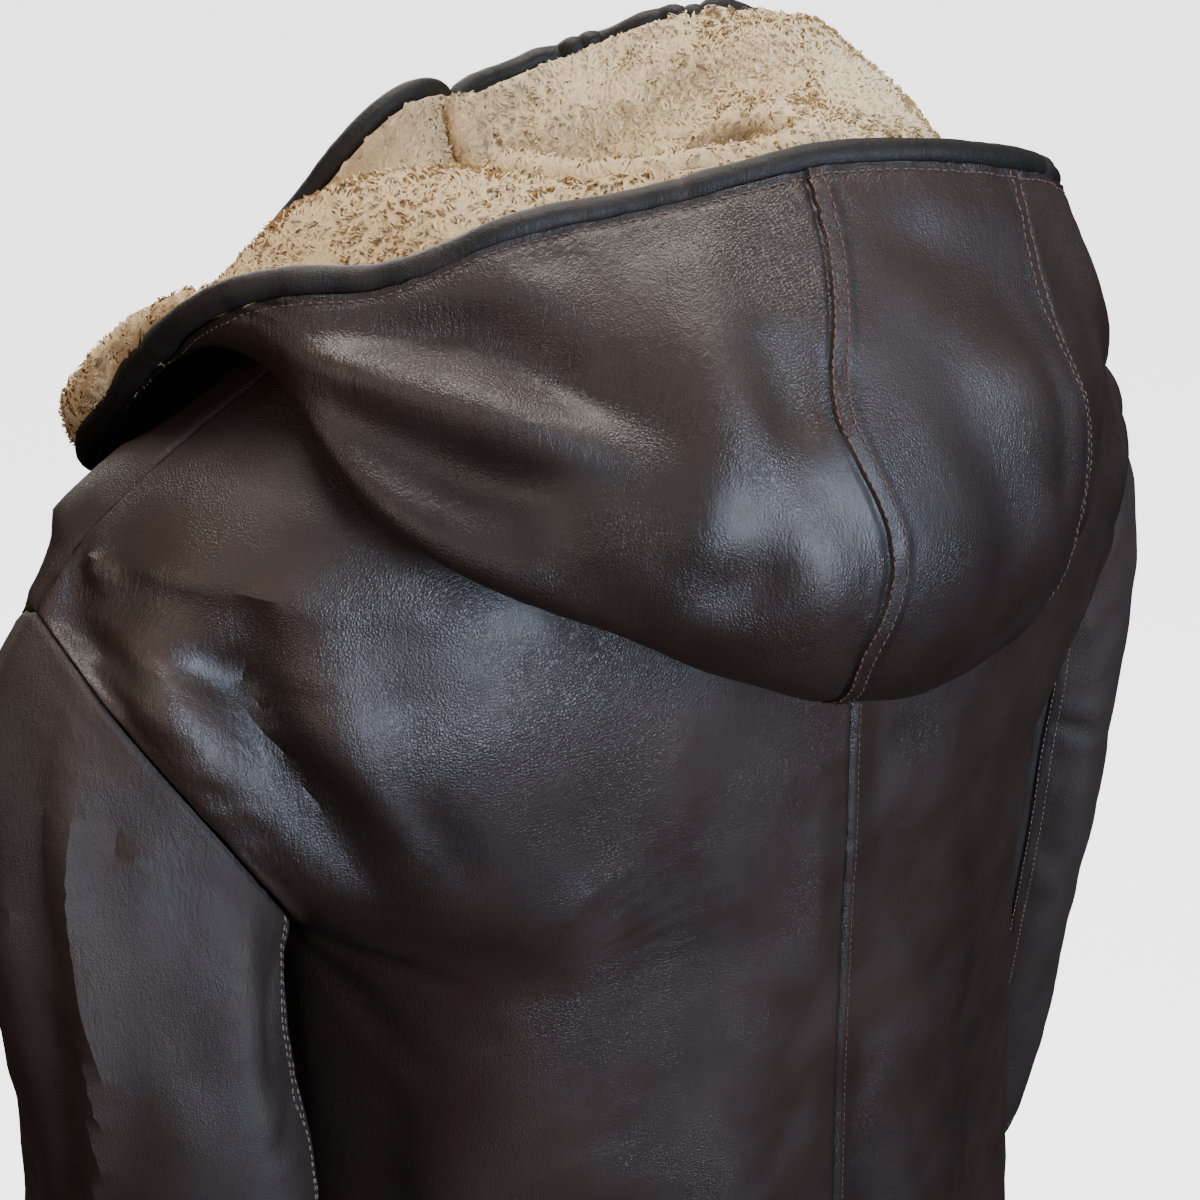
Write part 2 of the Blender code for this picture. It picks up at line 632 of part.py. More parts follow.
def build_hood(walls, leather, fur, edging):
    along = np.linspace(0, HOOD_EDGE, HOOD_ROWS)
    left, right = read(HOOD_SEAMS, "left right", along)
    start, end = hood_end(along, 1, HOOD_END_X), hood_end(along, -1, HOOD_END_X)
    panels = (
        ("side_left", start, left, HOOD_SIDE_COLUMNS),
        ("centre", left, right, HOOD_CENTRE_COLUMNS),
        ("side_right", right, end, HOOD_SIDE_COLUMNS),
    )
    angles, columns_of = [start[:, None]], {}
    for name, first, last, count in panels:
        begins = sum(part.shape[1] for part in angles) - 1
        shares = even_shares(first[-1], last[-1], count)
        angles.append(first[:, None] + (last - first)[:, None] * shares[None, 1:])
        columns_of[name] = slice(begins, begins + count)
    angles = np.concatenate(angles, axis=1)
    points, _ = folded(hood_point(angles, along[:, None]), hood_point, HOOD_FOLDS, flip=True)
    turns = turning(angles)
    for _ in range(TURNING_PASSES):
        points = lifted(points, along[:, None], walls)
        beside = (points[:, :-2] + points[:, 2:]) / 2
        points[:, 1:-1] += (beside - points[:, 1:-1]) * turns[:, 1:-1, None] / 2
    points = lifted(points, along[:, None], walls)
    normals = grid_normals(points, flip=True)
    thickness = spline(FUR["along"], FUR["thickness"], along)[:, None, None]
    thickness = thickness * (1 - TURNING_PRESS * turns * np.sin(pi * along)[:, None])[..., None]
    backing = points - normals * (LEATHER + LINING_GAP)
    fur_side = backing - normals * thickness
    for name, columns in columns_of.items():
        face, back = points[:, columns], (points - normals * LEATHER)[:, columns]
        add_wall("hood_" + name, trim(face), trim(back), leather)
        faces = [trim(side[:, columns], LINING_SEAM_GAP) for side in (backing, fur_side)]
        add_wall("lining_" + name, *faces, fur)
    add_rod("hood_binding", binding_path(points, fur_side), BINDING_RADIUS, BINDING_SIDES, edging)


def binding_path(outer, inner):
    """The middle of the rolled edge round the hood's face and down both its ends at the front."""

    def round_edge(points):
        """Points along the edge, and those beside them further in."""
        edge = np.concatenate([points[1:-1, 0], points[-1], points[-2:0:-1, -1]])
        return edge, np.concatenate([points[1:-1, 1], points[-2], points[-2:0:-1, -2]])

    (outer_edge, outer_in), (inner_edge, inner_in) = round_edge(outer), round_edge(inner)
    middle = (outer_edge + inner_edge) / 2
    away = unit(middle - (outer_in + inner_in) / 2)
    corners = len(outer) - 2, len(middle) - len(outer) + 1
    for corner, column, beside in zip(corners, (0, -1), (1, -2)):
        away[corner] += unit(outer[-1, column] - outer[-1, beside])
    forward = unit(np.gradient(middle, axis=0))
    away = unit(away - forward * (away * forward).sum(-1, keepdims=True))
    # At a corner the path keeps its distance from both edges, so it goes further out.
    for corner in corners:
        away[corner] *= np.sqrt(2)
    ahead = np.abs(((outer_edge - middle) * away).sum(-1, keepdims=True))
    path = middle + away * (BINDING_RADIUS + BINDING_GAP + ahead)
    kept = [0]
    for number in range(1, len(path)):
        near = np.linalg.norm(path[number] - path[kept[-1]]) < BINDING_STEP
        if number in corners and near and kept[-1] not in corners:
            kept.pop()
        if number in corners or not near:
            kept.append(number)
    path, away = path[kept], away[kept]
    share = np.linspace(0, 1, RIM_SHARES)[:, None, None, None]
    rims = [edge[:-1] + (edge[1:] - edge[:-1]) * share[:, 0] for edge in (outer_edge, inner_edge)]
    rim = (rims[0] + (rims[1] - rims[0]) * share).reshape(-1, 3)
    for _ in range(RIM_PASSES):
        halves = (path[1:] + path[:-1]) / 2
        room = [np.linalg.norm(line[:, None] - rim, axis=-1).min(-1) for line in (path, halves)]
        beside = np.minimum(np.append(room[1], np.inf), np.insert(room[1], 0, np.inf))
        missing = BINDING_RADIUS + BINDING_GAP - np.minimum(room[0], beside)
        path = path + away * np.maximum(missing, 0)[:, None]
    return path


def build_placket(leather):
    """The strip that covers the front opening, from the left panel's points moved out."""
    levels = body_levels()
    levels = np.concatenate([[PLACKET_TOP_LEVEL], levels[levels > PLACKET_TOP_LEVEL]])
    across = np.linspace(-1, 1, PLACKET_COLUMNS) * PLACKET_WIDTH / 2
    half_width = edge_point(False, levels)[:, 0]
    share = across[None, :] / half_width[:, None]
    left = body_point(False, np.abs(share) * PLACKET_REACH, levels[:, None])
    left[..., 0] = across
    normals = grid_normals(left)
    under = left + normals * PLACKET_LIFT
    add_wall("front_placket", under + normals * LEATHER, under, leather)
    return levels, under + normals * LEATHER, normals


def add_button(name, centre, normal, material):
    side = unit(np.cross(normal, (0, 0, 1)))
    up = np.cross(side, normal)
    turn = np.linspace(0, 2 * pi, BUTTON_SIDES, endpoint=False)[:, None]
    rim = np.cos(turn) * side + np.sin(turn) * up
    rings = [centre + rim * share * BUTTON_RADIUS + normal * height for share, height in BUTTON_PROFILE]
    faces = [tuple(range(BUTTON_SIDES))]
    faces.append(tuple(range((len(rings) - 1) * BUTTON_SIDES, len(rings) * BUTTON_SIDES)))
    for i in range(len(rings) - 1):
        for j in range(BUTTON_SIDES):
            a, b = i * BUTTON_SIDES + j, i * BUTTON_SIDES + (j + 1) % BUTTON_SIDES
            faces.append((a, b, b + BUTTON_SIDES, a + BUTTON_SIDES))
    add_object(name, np.concatenate(rings), faces, material)


def build_buttons(levels, surface, normals, material):
    middle = PLACKET_COLUMNS // 2
    for number, level in enumerate(BUTTON_LEVELS, 1):
        place = spline(levels, surface[:, middle], np.array([float(level)]))[0]
        normal = unit(spline(levels, normals[:, middle], np.array([float(level)]))[0] * (0, 1, 1))
        add_button(f"button_{number}", place + normal * BUTTON_LIFT, normal, material)


def reset_scene():
    for obj in list(bpy.data.objects):
        bpy.data.objects.remove(obj, do_unlink=True)


def main():
    reset_scene()
    leather = make_material("leather", (0.035, 0.024, 0.021), 0.45)
    edging = make_material("edging", (0.022, 0.016, 0.014), 0.5)
    fur = make_material("fur", (0.62, 0.46, 0.30), 0.95)
    horn = make_material("horn", (0.05, 0.03, 0.02), 0.3)
    walls = coat_walls()
    build_body(walls, leather)
    build_sleeves(walls, leather)
    build_hood(walls, leather, fur, edging)
    levels, surface, normals = build_placket(leather)
    build_buttons(levels, surface, normals, horn)


main()
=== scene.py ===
"""Looks of a leather coat with its fur-lined hood folded down on the back.

The coat's sections repeat those of its solids, in metres, read at a finer step. The finer creases, the
seams with their stitches, the rolled edge, the fur's pile and every surface's material are added.
"""

from functools import partial
from math import pi, radians

import bpy
import numpy as np
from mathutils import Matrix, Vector
from mathutils.kdtree import KDTree


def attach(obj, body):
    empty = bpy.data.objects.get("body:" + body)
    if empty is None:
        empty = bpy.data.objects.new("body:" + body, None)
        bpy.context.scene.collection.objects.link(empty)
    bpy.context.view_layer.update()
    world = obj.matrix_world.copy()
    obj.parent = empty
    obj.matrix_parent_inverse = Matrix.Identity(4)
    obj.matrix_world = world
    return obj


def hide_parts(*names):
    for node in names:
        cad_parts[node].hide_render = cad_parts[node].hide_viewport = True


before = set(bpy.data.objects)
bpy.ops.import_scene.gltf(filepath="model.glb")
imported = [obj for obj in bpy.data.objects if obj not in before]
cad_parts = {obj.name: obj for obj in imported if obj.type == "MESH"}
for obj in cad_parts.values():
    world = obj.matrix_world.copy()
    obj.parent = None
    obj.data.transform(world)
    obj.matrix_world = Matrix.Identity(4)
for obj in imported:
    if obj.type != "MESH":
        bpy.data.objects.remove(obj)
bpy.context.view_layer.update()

LEATHER = 0.0016
SEAM_GAP, LINING_GAP = 0.0003, 0.0004

# How finely the panels are divided.
PANEL_COLUMNS, SHOULDER_ROWS, SIDE_ROWS = 68, 44, 46
SLEEVE_HALF, SLEEVE_HEAD_ROWS, SLEEVE_ARM_ROWS = 44, 64, 44
SLEEVE_UNDER_COLUMNS, SLEEVE_UPPER_COLUMNS = 36, 64
HOOD_ROWS, HOOD_SIDE_COLUMNS, HOOD_CENTRE_COLUMNS = 104, 156, 48


def table(names, rows):
    """A table's columns by name, from text with a line for each row."""
    return dict(zip(names.split(), np.array([row.split() for row in rows.strip().splitlines()], float).T))


# The lines down the middle of the back and the front, and each level's full width.
# square is the section's exponent: 2 is an ellipse and more is squarer.
CENTRE = table("level  back_y  back_z  front_y front_z  half_width  square", """
0 .064 .01 -.08 -.058 .074 2
1 .078 -.008 -.094 -.07 .098 2
2 .094 -.036 -.108 -.09 .14 2
3 .106 -.066 -.117 -.112 .186 2.1
4 .114 -.098 -.122 -.136 .23 2.2
5 .119 -.13 -.125 -.16 .262 2.3
6 .122 -.16 -.127 -.182 .284 2.4
7 .124 -.185 -.127 -.202 .284 2.4
8 .125 -.21 -.127 -.22 .271 2.4
9 .126 -.235 -.126 -.24 .257 2.4
10 .127 -.26 -.125 -.262 .245 2.4
11 .127 -.29 -.125 -.29 .235 2.4
12 .128 -.345 -.124 -.345 .225 2.4
13 .131 -.43 -.125 -.43 .22 2.4
14 .137 -.53 -.131 -.53 .224 2.4
15 .146 -.65 -.139 -.65 .233 2.3
16 .158 -.82 -.15 -.82 .248 2.2
""")
# The panels' outer edges, on the wearer's left: shoulder seam, the armhole's two halves, and side seam.
SHOULDER = table("level x y z", """
0 .074 0 .004
1 .098 -.001 -.006
2 .14 -.004 -.025
3 .186 -.009 -.048
4 .23 -.015 -.074
5 .262 -.02 -.099
6 .28 -.024 -.122
""")
ARMHOLE_BACK = table("level x y z", """
6 .28 -.024 -.122
7 .277 .024 -.146
8 .259 .052 -.184
9 .239 .06 -.22
10 .22 .04 -.25
11 .21 0 -.266
""")
ARMHOLE_FRONT = table("level x y z", """
6 .28 -.024 -.122
7 .268 -.066 -.146
8 .248 -.086 -.184
9 .232 -.08 -.222
10 .216 -.046 -.252
11 .21 0 -.266
""")
SIDE = table("level x y z", """
11 .21 0 -.266
12 .206 0 -.338
13 .209 0 -.43
14 .218 0 -.53
15 .23 0 -.65
16 .246 0 -.82
""")
ARMHOLE_TOP, UNDERARM, HEM = 6, 11, 16
# A panel's depth is drawn to its outer edge only near that edge: the power of the share of the way there.
EDGE_PULL = 6

# Sections of the hanging sleeve by depth below the neck; outer and inner are its half widths along X.
SLEEVE = table("depth  centre_x centre_y  outer  inner  half_y", """
.29 .261 .01 .055 .042 .08
.36 .262 .008 .057 .043 .083
.45 .268 0 .056 .044 .08
.55 .279 -.012 .053 .044 .074
.66 .292 -.03 .05 .042 .066
""")
HEAD_DEPTH, CUFF_DEPTH = 0.36, 0.66
# The sleeve's two seams, in quarter turns from its outer side: 1 is the back, 2 the inside, 3 the front.
SLEEVE_BACK_SEAM, SLEEVE_FRONT_SEAM = 1.4, 2.8
RIGHT_SLEEVE_FORWARD = 0.036
# The way a sleeve leaves the armhole: outwards, to the back and down, and how strongly, each with what
# is added at the armhole's top.
LEAVING_OUT, LEAVING_OUT_TOP = 0.35, 0.30
LEAVING_BACK = 0.10
LEAVING_DOWN, LEAVING_DOWN_TOP = -0.95, 0.25
LEAVING_REACH, LEAVING_REACH_TOP = 0.9, 0.25

# Sections of the hood by plan angle, 90 at the middle of the back: radius and height of its wall a
# third of the way under, at its lowest fold, at its outer bulge and at its face edge. From -55 to -10
# and at 180 it lies open like a collar, and at the front it stands up.
HOOD = table("angle  under_r under_z  fold_r fold_z  bulge_r bulge_z  edge_r edge_z", """
-90 .112 -.054 .127 -.038 .14 -.019 .152 -.001
-72 .111 -.044 .126 -.03 .139 -.016 .149 -.004
-55 .112 -.022 .14 -.03 .176 -.078 .205 -.092
-38 .116 -.01 .152 -.03 .198 -.098 .23 -.126
-24 .119 0 .158 -.016 .202 -.062 .232 -.094
-10 .121 .004 .154 -.01 .184 -.034 .214 -.044
-2 .122 0 .163 -.024 .19 -.04 .214 -.024
6 .124 -.005 .176 -.04 .202 -.038 .202 -.006
16 .124 -.013 .188 -.058 .21 -.046 .178 -.001
26 .122 -.024 .192 -.078 .208 -.058 .158 .014
40 .12 -.036 .186 -.104 .208 -.068 .134 .024
60 .116 -.048 .174 -.138 .208 -.078 .124 .034
80 .114 -.054 .166 -.162 .204 -.084 .124 .039
100 .114 -.054 .166 -.16 .196 -.084 .136 .033
120 .116 -.048 .166 -.146 .187 -.078 .152 .018
140 .12 -.036 .172 -.11 .186 -.066 .164 -.002
158 .122 -.016 .172 -.064 .194 -.052 .178 -.016
170 .12 0 .158 -.028 .184 -.042 .205 -.03
182 .116 .008 .15 -.002 .176 -.024 .194 -.052
200 .112 .01 .134 .024 .156 .022 .172 .004
220 .11 -.004 .126 .016 .142 .026 .156 .03
244 .112 -.032 .128 -.012 .142 .002 .157 .012
270 .112 -.054 .127 -.038 .14 -.019 .152 -.001
""")
HOOD_START, HOOD_END = -90, 270
HOOD_EDGE = 0.985
# The hood's two ends stop this far from the middle of the front, and it stays this far off the coat.
HOOD_END_X = 0.0090
HOOD_CLEARANCE, HOOD_EDGE_CLEARANCE = 0.004, 0.010
# The clearance grows from the neck seam to here, and again from here to the face edge.
CLEAR_FROM, EDGE_FROM = 0.12, 0.8
# Hood points further from the coat than this aren't moved.
COAT_REACH = 0.06
# Here the hood turns from a collar that lies open into the hanging bag, and its wall is evened out.
TURNING_ANGLES, TURNING_WIDTH = (-2, 170), 16
TURNING_PASSES, TURNING_DENSITY = 40, 1.5
# The two seams beside the hood's centre strip: along is 0 at the neck and 1 at the face edge.
HOOD_SEAMS = table("along left right", """
0 76 104
.4 70 108
.52 69 110
.6 70 110
.66 70 109
.72 72 108
.78 71 107
.84 68 106
.92 71 108
1 72 114
""")
# Thickness of the fur lining, thinner where the folded hood presses it together.
FUR = table("along thickness", """
0 .008
.2 .007
.4 .004
.6 .0035
.8 .0035
1 .008
""")
# The share of its thickness that it loses where the hood turns.
TURNING_PRESS = 0.4

# Folds: where each starts and ends on its surface, its half width and its depth (minus stands out). a and b
# are across and level on the body, quarter turn and along on a sleeve, and plan angle and along on the hood.
FOLD = "a0 b0 a1 b1 half_width depth"
BACK_FOLDS = table(FOLD, """
.74 6.2 .97 8.8 .016 .004
.86 6.3 .97 7.9 .012 -.002
.45 9 .5 16 .04 .006
.72 11 .66 16 .03 -.006
.2 12 .22 16 .03 -.004
""")
FRONT_FOLDS = table(FOLD, """
.82 6.4 .9 10.6 .016 .01
.5 8 .48 16 .04 .006
.72 11 .7 16 .03 -.005
""")
SLEEVE_FOLDS = table(FOLD, """
3.8 .3 3.7 2 .012 .004
1.1 .6 1 1.3 .018 -.004
2.6 1.05 3.4 1.15 .016 .006
2.7 1.25 3.3 1.3 .014 .005
""")
HOOD_FOLDS = table(FOLD, """
14 .84 44 .7 .016 .004
17 .71 40 .62 .014 -.003
60 .9 52 .72 .016 -.004
84 .92 92 .66 .018 .004
118 .96 136 .7 .014 -.004
138 .9 140 .6 .02 .003
""")
FOLD_STEPS = 24
# A fold keeps this share of its length before it has all but ended, and fades with this power.
FOLD_TIP, FOLD_FADE = 0.04, 0.5
# The same for a crease, and how far it is walled by raised leather: the wall's height and its place.
CREASE_STEPS, CREASE_TIP, CREASE_FADE = 28, 0.02, 0.8
CREASE_WALL, CREASE_WALL_AT = 0.22, 2.1

# The body is evened out round this level, where it goes in under the arms.
UNDERARM_EASED, UNDERARM_REACH, UNDERARM_PASSES = 10.0, 1.8, 70
UNDERARM_FROM, UNDERARM_TO = (0.35, 0.60), (0.93, 0.99)

# Broad waves in the leather: height, pitch, seed (added to a panel's own one) and stretch. A sleeve's wave
# is full from the last distance on from its seams.
BODY_WAVES = ((0.0022, 0.15, 0, (1, 1, 0.35)), (0.0006, 0.045, 9, (1, 1, 0.6)))
SLEEVE_WAVES = ((0.0016, 0.10, 0, (1, 1, 0.5), 0.02), (0.0006, 0.035, 5, (1, 1, 1.4), 0.01))
HOOD_WAVES = ((0.0012, 0.10, 21, (1, 1, 0.8)), (0.0006, 0.040, 22, (1, 1, 1)))
# Folds and creases grow to their full depth over these distances from a panel's edges.
BODY_HELD, SLEEVE_HELD, CREASE_HELD, SEAM_HELD, HOOD_HELD = 0.020, 0.018, 0.010, 0.006, (0.004, 0.030)
# How wrinkled the leather is all over, what is added at an edge, and how far that reaches.
BODY_RUMPLE, SLEEVE_RUMPLE, HOOD_RUMPLE = (0.15, 0.6, 0.05), (0.2, 0.6, 0.06), (0.2, 0.6, 0.02)
# Puckers along a stitched edge: height, pitch and how far they reach.
HEM_PUCKERS, RIM_PUCKERS = (0.0005, 0.021, 0.022), (0.0006, 0.013, 0.012)

# Distances of seams and stitches from the edges, and the groove that a hem's stitches pull in.
HEM_STITCH, EDGE_STITCH, BACK_SEAM_STITCH = 0.012, 0.0045, 0.0050
HEM_DEPTH, HEM_WIDTH = 0.0006, 0.0022
SLEEVE_STITCHES = (0.0022, 0.0075)
HOOD_BAND, HOOD_BAND_HEIGHT, HOOD_BAND_STITCHES = 0.0082, 0.0006, (0.0016, 0.0068)
HOOD_EDGE_STITCH = 0.0030
# Edge, seed and height of the centre strip's two raised bands, how softly they end, and their puckers:
# height, pitch and half width.
HOOD_BANDS, HOOD_BAND_EASE = (("first", 31, 1.0), ("last", 32, 0.7)), 0.001
BAND_PUCKERS = (0.00055, 0.011, 0.006)
# Seams that differ from the plain ones, the seeds of the hood's, and the groove of its edge's stitches.
SLEEVE_SEAM = {"pucker": 0.0007, "reach": 0.014, "pitch": 0.015}
HOOD_SEAM = {"depth": 0.0013, "pucker": 0.0006, "reach": 0.012}
HOOD_SEAM_SEED, RIM_SEED = 33, 34
RIM_DEPTH, RIM_WIDTH = 0.0005, 0.0020
# How a crease's depth wrinkles leather, darkens its hollow with painted shade, and wears what stands out, each up
# to a limit.
WRINKLE_PER_DEPTH, CREASE_SHADE_PER_DEPTH, WEAR_PER_DEPTH = 60, 60, 40
CREASE_SHADE_LIMIT, WEAR_LIMIT = 0.6, 0.3
# Strength and reach of the wear at a hem and at the raised bands.
HEM_WEAR, HEM_WEAR_REACH, BAND_WEAR, BAND_WEAR_REACH = 0.5, 0.003, 0.35, 0.0016
# Strength and half width of the painted shade at a seam, beside the bands, at the hood's seams and at its edge.
SEAM_SHADE, BAND_SHADE, SHADE_WIDTH = 0.8, 0.7, 0.0012
HOOD_SEAM_SHADE, HOOD_SEAM_SHADE_WIDTH, RIM_SHADE, RIM_SHADE_WIDTH = 0.9, 0.002, 0.7, 0.003

# The rolled edge: how far out its middle lies as a share of its radius, where its strip is joined, its
# uneven fullness (height, pitch and seed), and how its path is evened out.
BINDING_RADIUS, BINDING_OUT, BINDING_SIDES, BINDING_CUT = 0.0054, 0.95, 18, 0.024
BINDING_JOINS = (0.06, 0.335, 0.485, 0.60, 0.83)
BINDING_WAVES = ((0.045, 0.05, 41), (0.02, 0.014, 42))
JOIN_WIDTH, JOIN_BULGE, JOIN_BULGE_AT, JOIN_BULGE_WIDTH = 0.0012, 0.10, 0.008, 0.006
RIM_STEP, RIM_PASSES, RIM_EASE, CORNER_EASE = 0.0022, 34, 0.5, 0.12

# The fur's tone: at the middle, how it falls along X (partly its own colour, partly painted shade), its waves
# (height, pitch and seed), what its base keeps of it, and its darker patch (partly a stain, partly painted
# shade).
# The hidden pile's base is darker still: painted shade inside the folded bag.
TONE, TONE_AND_SHADE_SLOPE, BASE_TONE, HIDDEN_SHADE_TONE = 0.60, 2.1, 0.8, 0.25
TONE_WAVES = ((0.16, 0.11, 61), (0.07, 0.03, 62))
FUR_STAIN_AND_SHADE, STAIN_AND_SHADE_DEPTH, STAIN_AND_SHADE_WIDTH = np.array([-0.02, -0.10, 0.0]), 0.5, 0.032
# The pile's locks (height, pitch and seed), full from this thickness on, and the tufts' share of it.
LOCK_WAVES = ((0.0009, 0.016, 51), (0.0006, 0.008, 52))
FULL_FUR, PILE_SHARE = 0.008, 0.80
# The pile is made in full outside these angles, and nearer than this to the neck or to the face edge.
SEEN_ANGLES, SEEN_FADE, SEEN_AT_NECK, SEEN_AT_EDGE = (-4, 168), 8, (0.38, 0.46), (0.78, 0.84)
# A tuft's size, and how many tufts lean to one place. Then how far its middle and tip rise, are drawn
# together and lean over, and which way they curl; how deep its root is, how far it curls and strays; and
# how its tone spreads and changes from its root to its tip.
TUFT_HEIGHT, TUFT_WIDTH, TUFTS_PER_LOCK = 0.0022, 0.0012, 14
TUFT_BENDS = ((0.38, 0.35, 0.45, 1), (0.50, 0.75, 0.95, -1))
TUFT_ROOT, TUFT_CURL, TUFT_STRAY, TONE_SPREAD = 0.0008, 0.0005, 0.25, 0.045
TUFT_TONES = (-0.18, -0.18, 0.0, 0.0, 0.05, 0.05)
TUFTS = {
    "side_left": 40000,
    "centre": 5000,
    "side_right": 41000,
    "end": 2400,
    "neck": 6000,
    "neck_roll": 6500,
    "flap": 3500,
}
# The pile's colours: painted shade between the locks, tan and cream.
FUR_GAP_SHADE, FUR_TAN, FUR_CREAM = (0.50, 0.34, 0.17), (0.68, 0.47, 0.25), (0.90, 0.74, 0.47)
LINING_STEP = 2
# The lining lies deeper than the leather in a crease by this share of its depth.
LINING_SINK = 0.45
# The fleece that rolls over the hood's two ends at the front and over its left side where that lies open,
# and the fleece that goes on inside the neck.
ROLL_SIDES, ROLL_STEP = 16, 0.003
END_ROLL_X, END_ROLL_RADIUS = 0.0058, 0.0072
FLAP_ROLL_ANGLES, FLAP_ROLL_ROWS_IN, FLAP_ROLL_RADIUS = (-42, 4), 7, 0.0105
NECK_BAND_DEPTH, NECK_BAND_ROWS, NECK_BAND_COLUMNS = 1.9, 16, 40
NECK_BAND_GAP, NECK_BAND_FUR = 0.0050, 0.005
NECK_ROLL_IN, NECK_ROLL_UP, NECK_ROLL_RADIUS, NECK_ROLL_STEPS = 0.0075, 0.004, 0.0095, 150

PLACKET_WIDTH, PLACKET_COLUMNS, PLACKET_TOP_LEVEL = 0.044, 33, 0.5
PLACKET_REACH, PLACKET_LIFT = 0.66, 0.0005
# The strip's grooves at its stitches, its waves, how a button presses it, and how its edges are worn.
PLACKET_DEPTH, PLACKET_GROOVE = 0.0005, 0.0018
PLACKET_WAVE, PLACKET_PITCH, PLACKET_SEED = 0.0006, 0.05, 71
BUTTON_PRESS, BUTTON_REACH = 0.0005, 0.016
PLACKET_WEAR, PLACKET_WEAR_REACH, PLACKET_WRINKLE = 0.6, 0.0016, 0.3
BUTTON_LEVELS = (1.6, 4.6, 8.6, 12.2, 13.6, 14.9)
BUTTON_SIDES, HOLE_SIDES, THREAD_SIDES = 48, 12, 6
# Outlines of a button and of the eye of a hole, from the middle outwards: radius and height over the strip.
PROFILE = "radius height"
BUTTON_PROFILE = table(PROFILE, """
1e-05 .0026
.003 .0026
.0066 .0027
.0078 .0033
.009 .0041
.0104 .0044
.0116 .004
.0124 .003
.0125 .002
.0119 .001
.0108 .0006
1e-05 .0005
""")
HOLE_PROFILE = table(PROFILE, """
1e-05 .00262
.0006 .00264
.00088 .00272
.00105 .00268
.00112 .0025
""")
HOLE_OUT = 0.0026
THREAD_HEIGHT, THREAD_RADIUS, THREAD_APART, THREAD_DIP = 0.0030, 0.00032, 0.0003, 0.0012
STITCH_RINGS, STITCH_SIDES = ((-1.0, 0.30), (-0.5, 0.95), (0.5, 0.95), (1.0, 0.30)), 4
RIM_ANGLE, BUTTON_ANGLE = 35, 50

# Narrow creases: where each starts and ends on its surface, how far its middle bends sideways, its half
# width and its depth (minus stands out).
CREASE = "a0 b0 a1 b1 bend half_width depth"
BODY_CREASES = {
    (True, "left"): table(CREASE, """
.69 4.9 .8 9.2 -.01 .013 .012
.8 5.2 .9 8 -.01 .012 -.0045
.6 4.8 .64 7.4 0 .016 -.003
.97 7 .86 7.3 -.02 .008 .002
.975 7.5 .84 7.7 .01 .004 .0018
.98 8.1 .88 8.1 .01 .004 .0018
.99 4.9 .9 5.7 .02 .006 .0034
.985 5.4 .87 6.2 .02 .005 .003
.97 5.9 .85 6.7 -.02 .005 .0024
.98 6.4 .9 6.9 .02 .004 .002
.95 5 .88 5.2 .02 .007 -.003
.62 5.4 .6 7.2 .01 .007 .0012
.86 12 .8 12.1 0 .006 .0016
.2 12.1 .02 12.45 0 .004 .001
.5 9 .52 13 .02 .022 -.0024
.34 8 .3 12.6 .02 .02 .002
.66 6.4 .7 8.6 .01 .006 .0016
.6 6.8 .63 9 -.01 .007 .0014
.08 12.6 .22 12.9 0 .007 .0012
.52 12.8 .6 12.6 0 .01 .0016
.96 10.4 .7 11.2 0 .007 .0025
.97 10.8 .76 12 0 .006 .002
.3 13.4 .34 15.8 .02 .018 .0026
.82 12 .86 15.6 -.02 .014 .0026
"""),
    (True, "right"): table(CREASE, """
.9 7.2 .74 8.4 .02 .006 .0026
.95 8.4 .8 9.6 -.02 .006 .0024
.7 6.4 .72 9.2 .01 .008 .002
.96 10.5 .74 11.4 0 .007 .0025
.4 12.4 .46 15.6 .02 .016 .0026
.78 12.4 .8 15.8 .02 .016 -.0024
.24 12.2 .36 12 0 .008 .0012
"""),
    (False, "left"): table(CREASE, """
.94 7.2 .78 8.2 .02 .006 .003
.95 8.2 .78 9.4 .02 .006 .0026
.96 10.2 .72 11 0 .007 .0026
.62 6 .66 8.4 .01 .008 .0018
.14 4 .3 4.6 .02 .008 .0016
.12 9 .34 9.5 .02 .008 .0014
.34 12 .3 15.8 .02 .018 .0026
.8 11.8 .84 15.8 -.02 .014 .0026
"""),
    (False, "right"): table(CREASE, """
.92 7 .76 8 -.02 .006 .0028
.95 8.4 .8 9.2 .02 .006 .0026
.96 10.4 .7 11.3 0 .007 .0026
.68 6.2 .64 8.8 .01 .008 .0018
.16 5.2 .36 5.6 .02 .008 .0014
.12 12 .3 12.3 .02 .008 .0014
.42 11.8 .4 15.8 -.02 .018 .0026
.76 12.2 .8 15.8 .02 .014 -.002
"""),
}
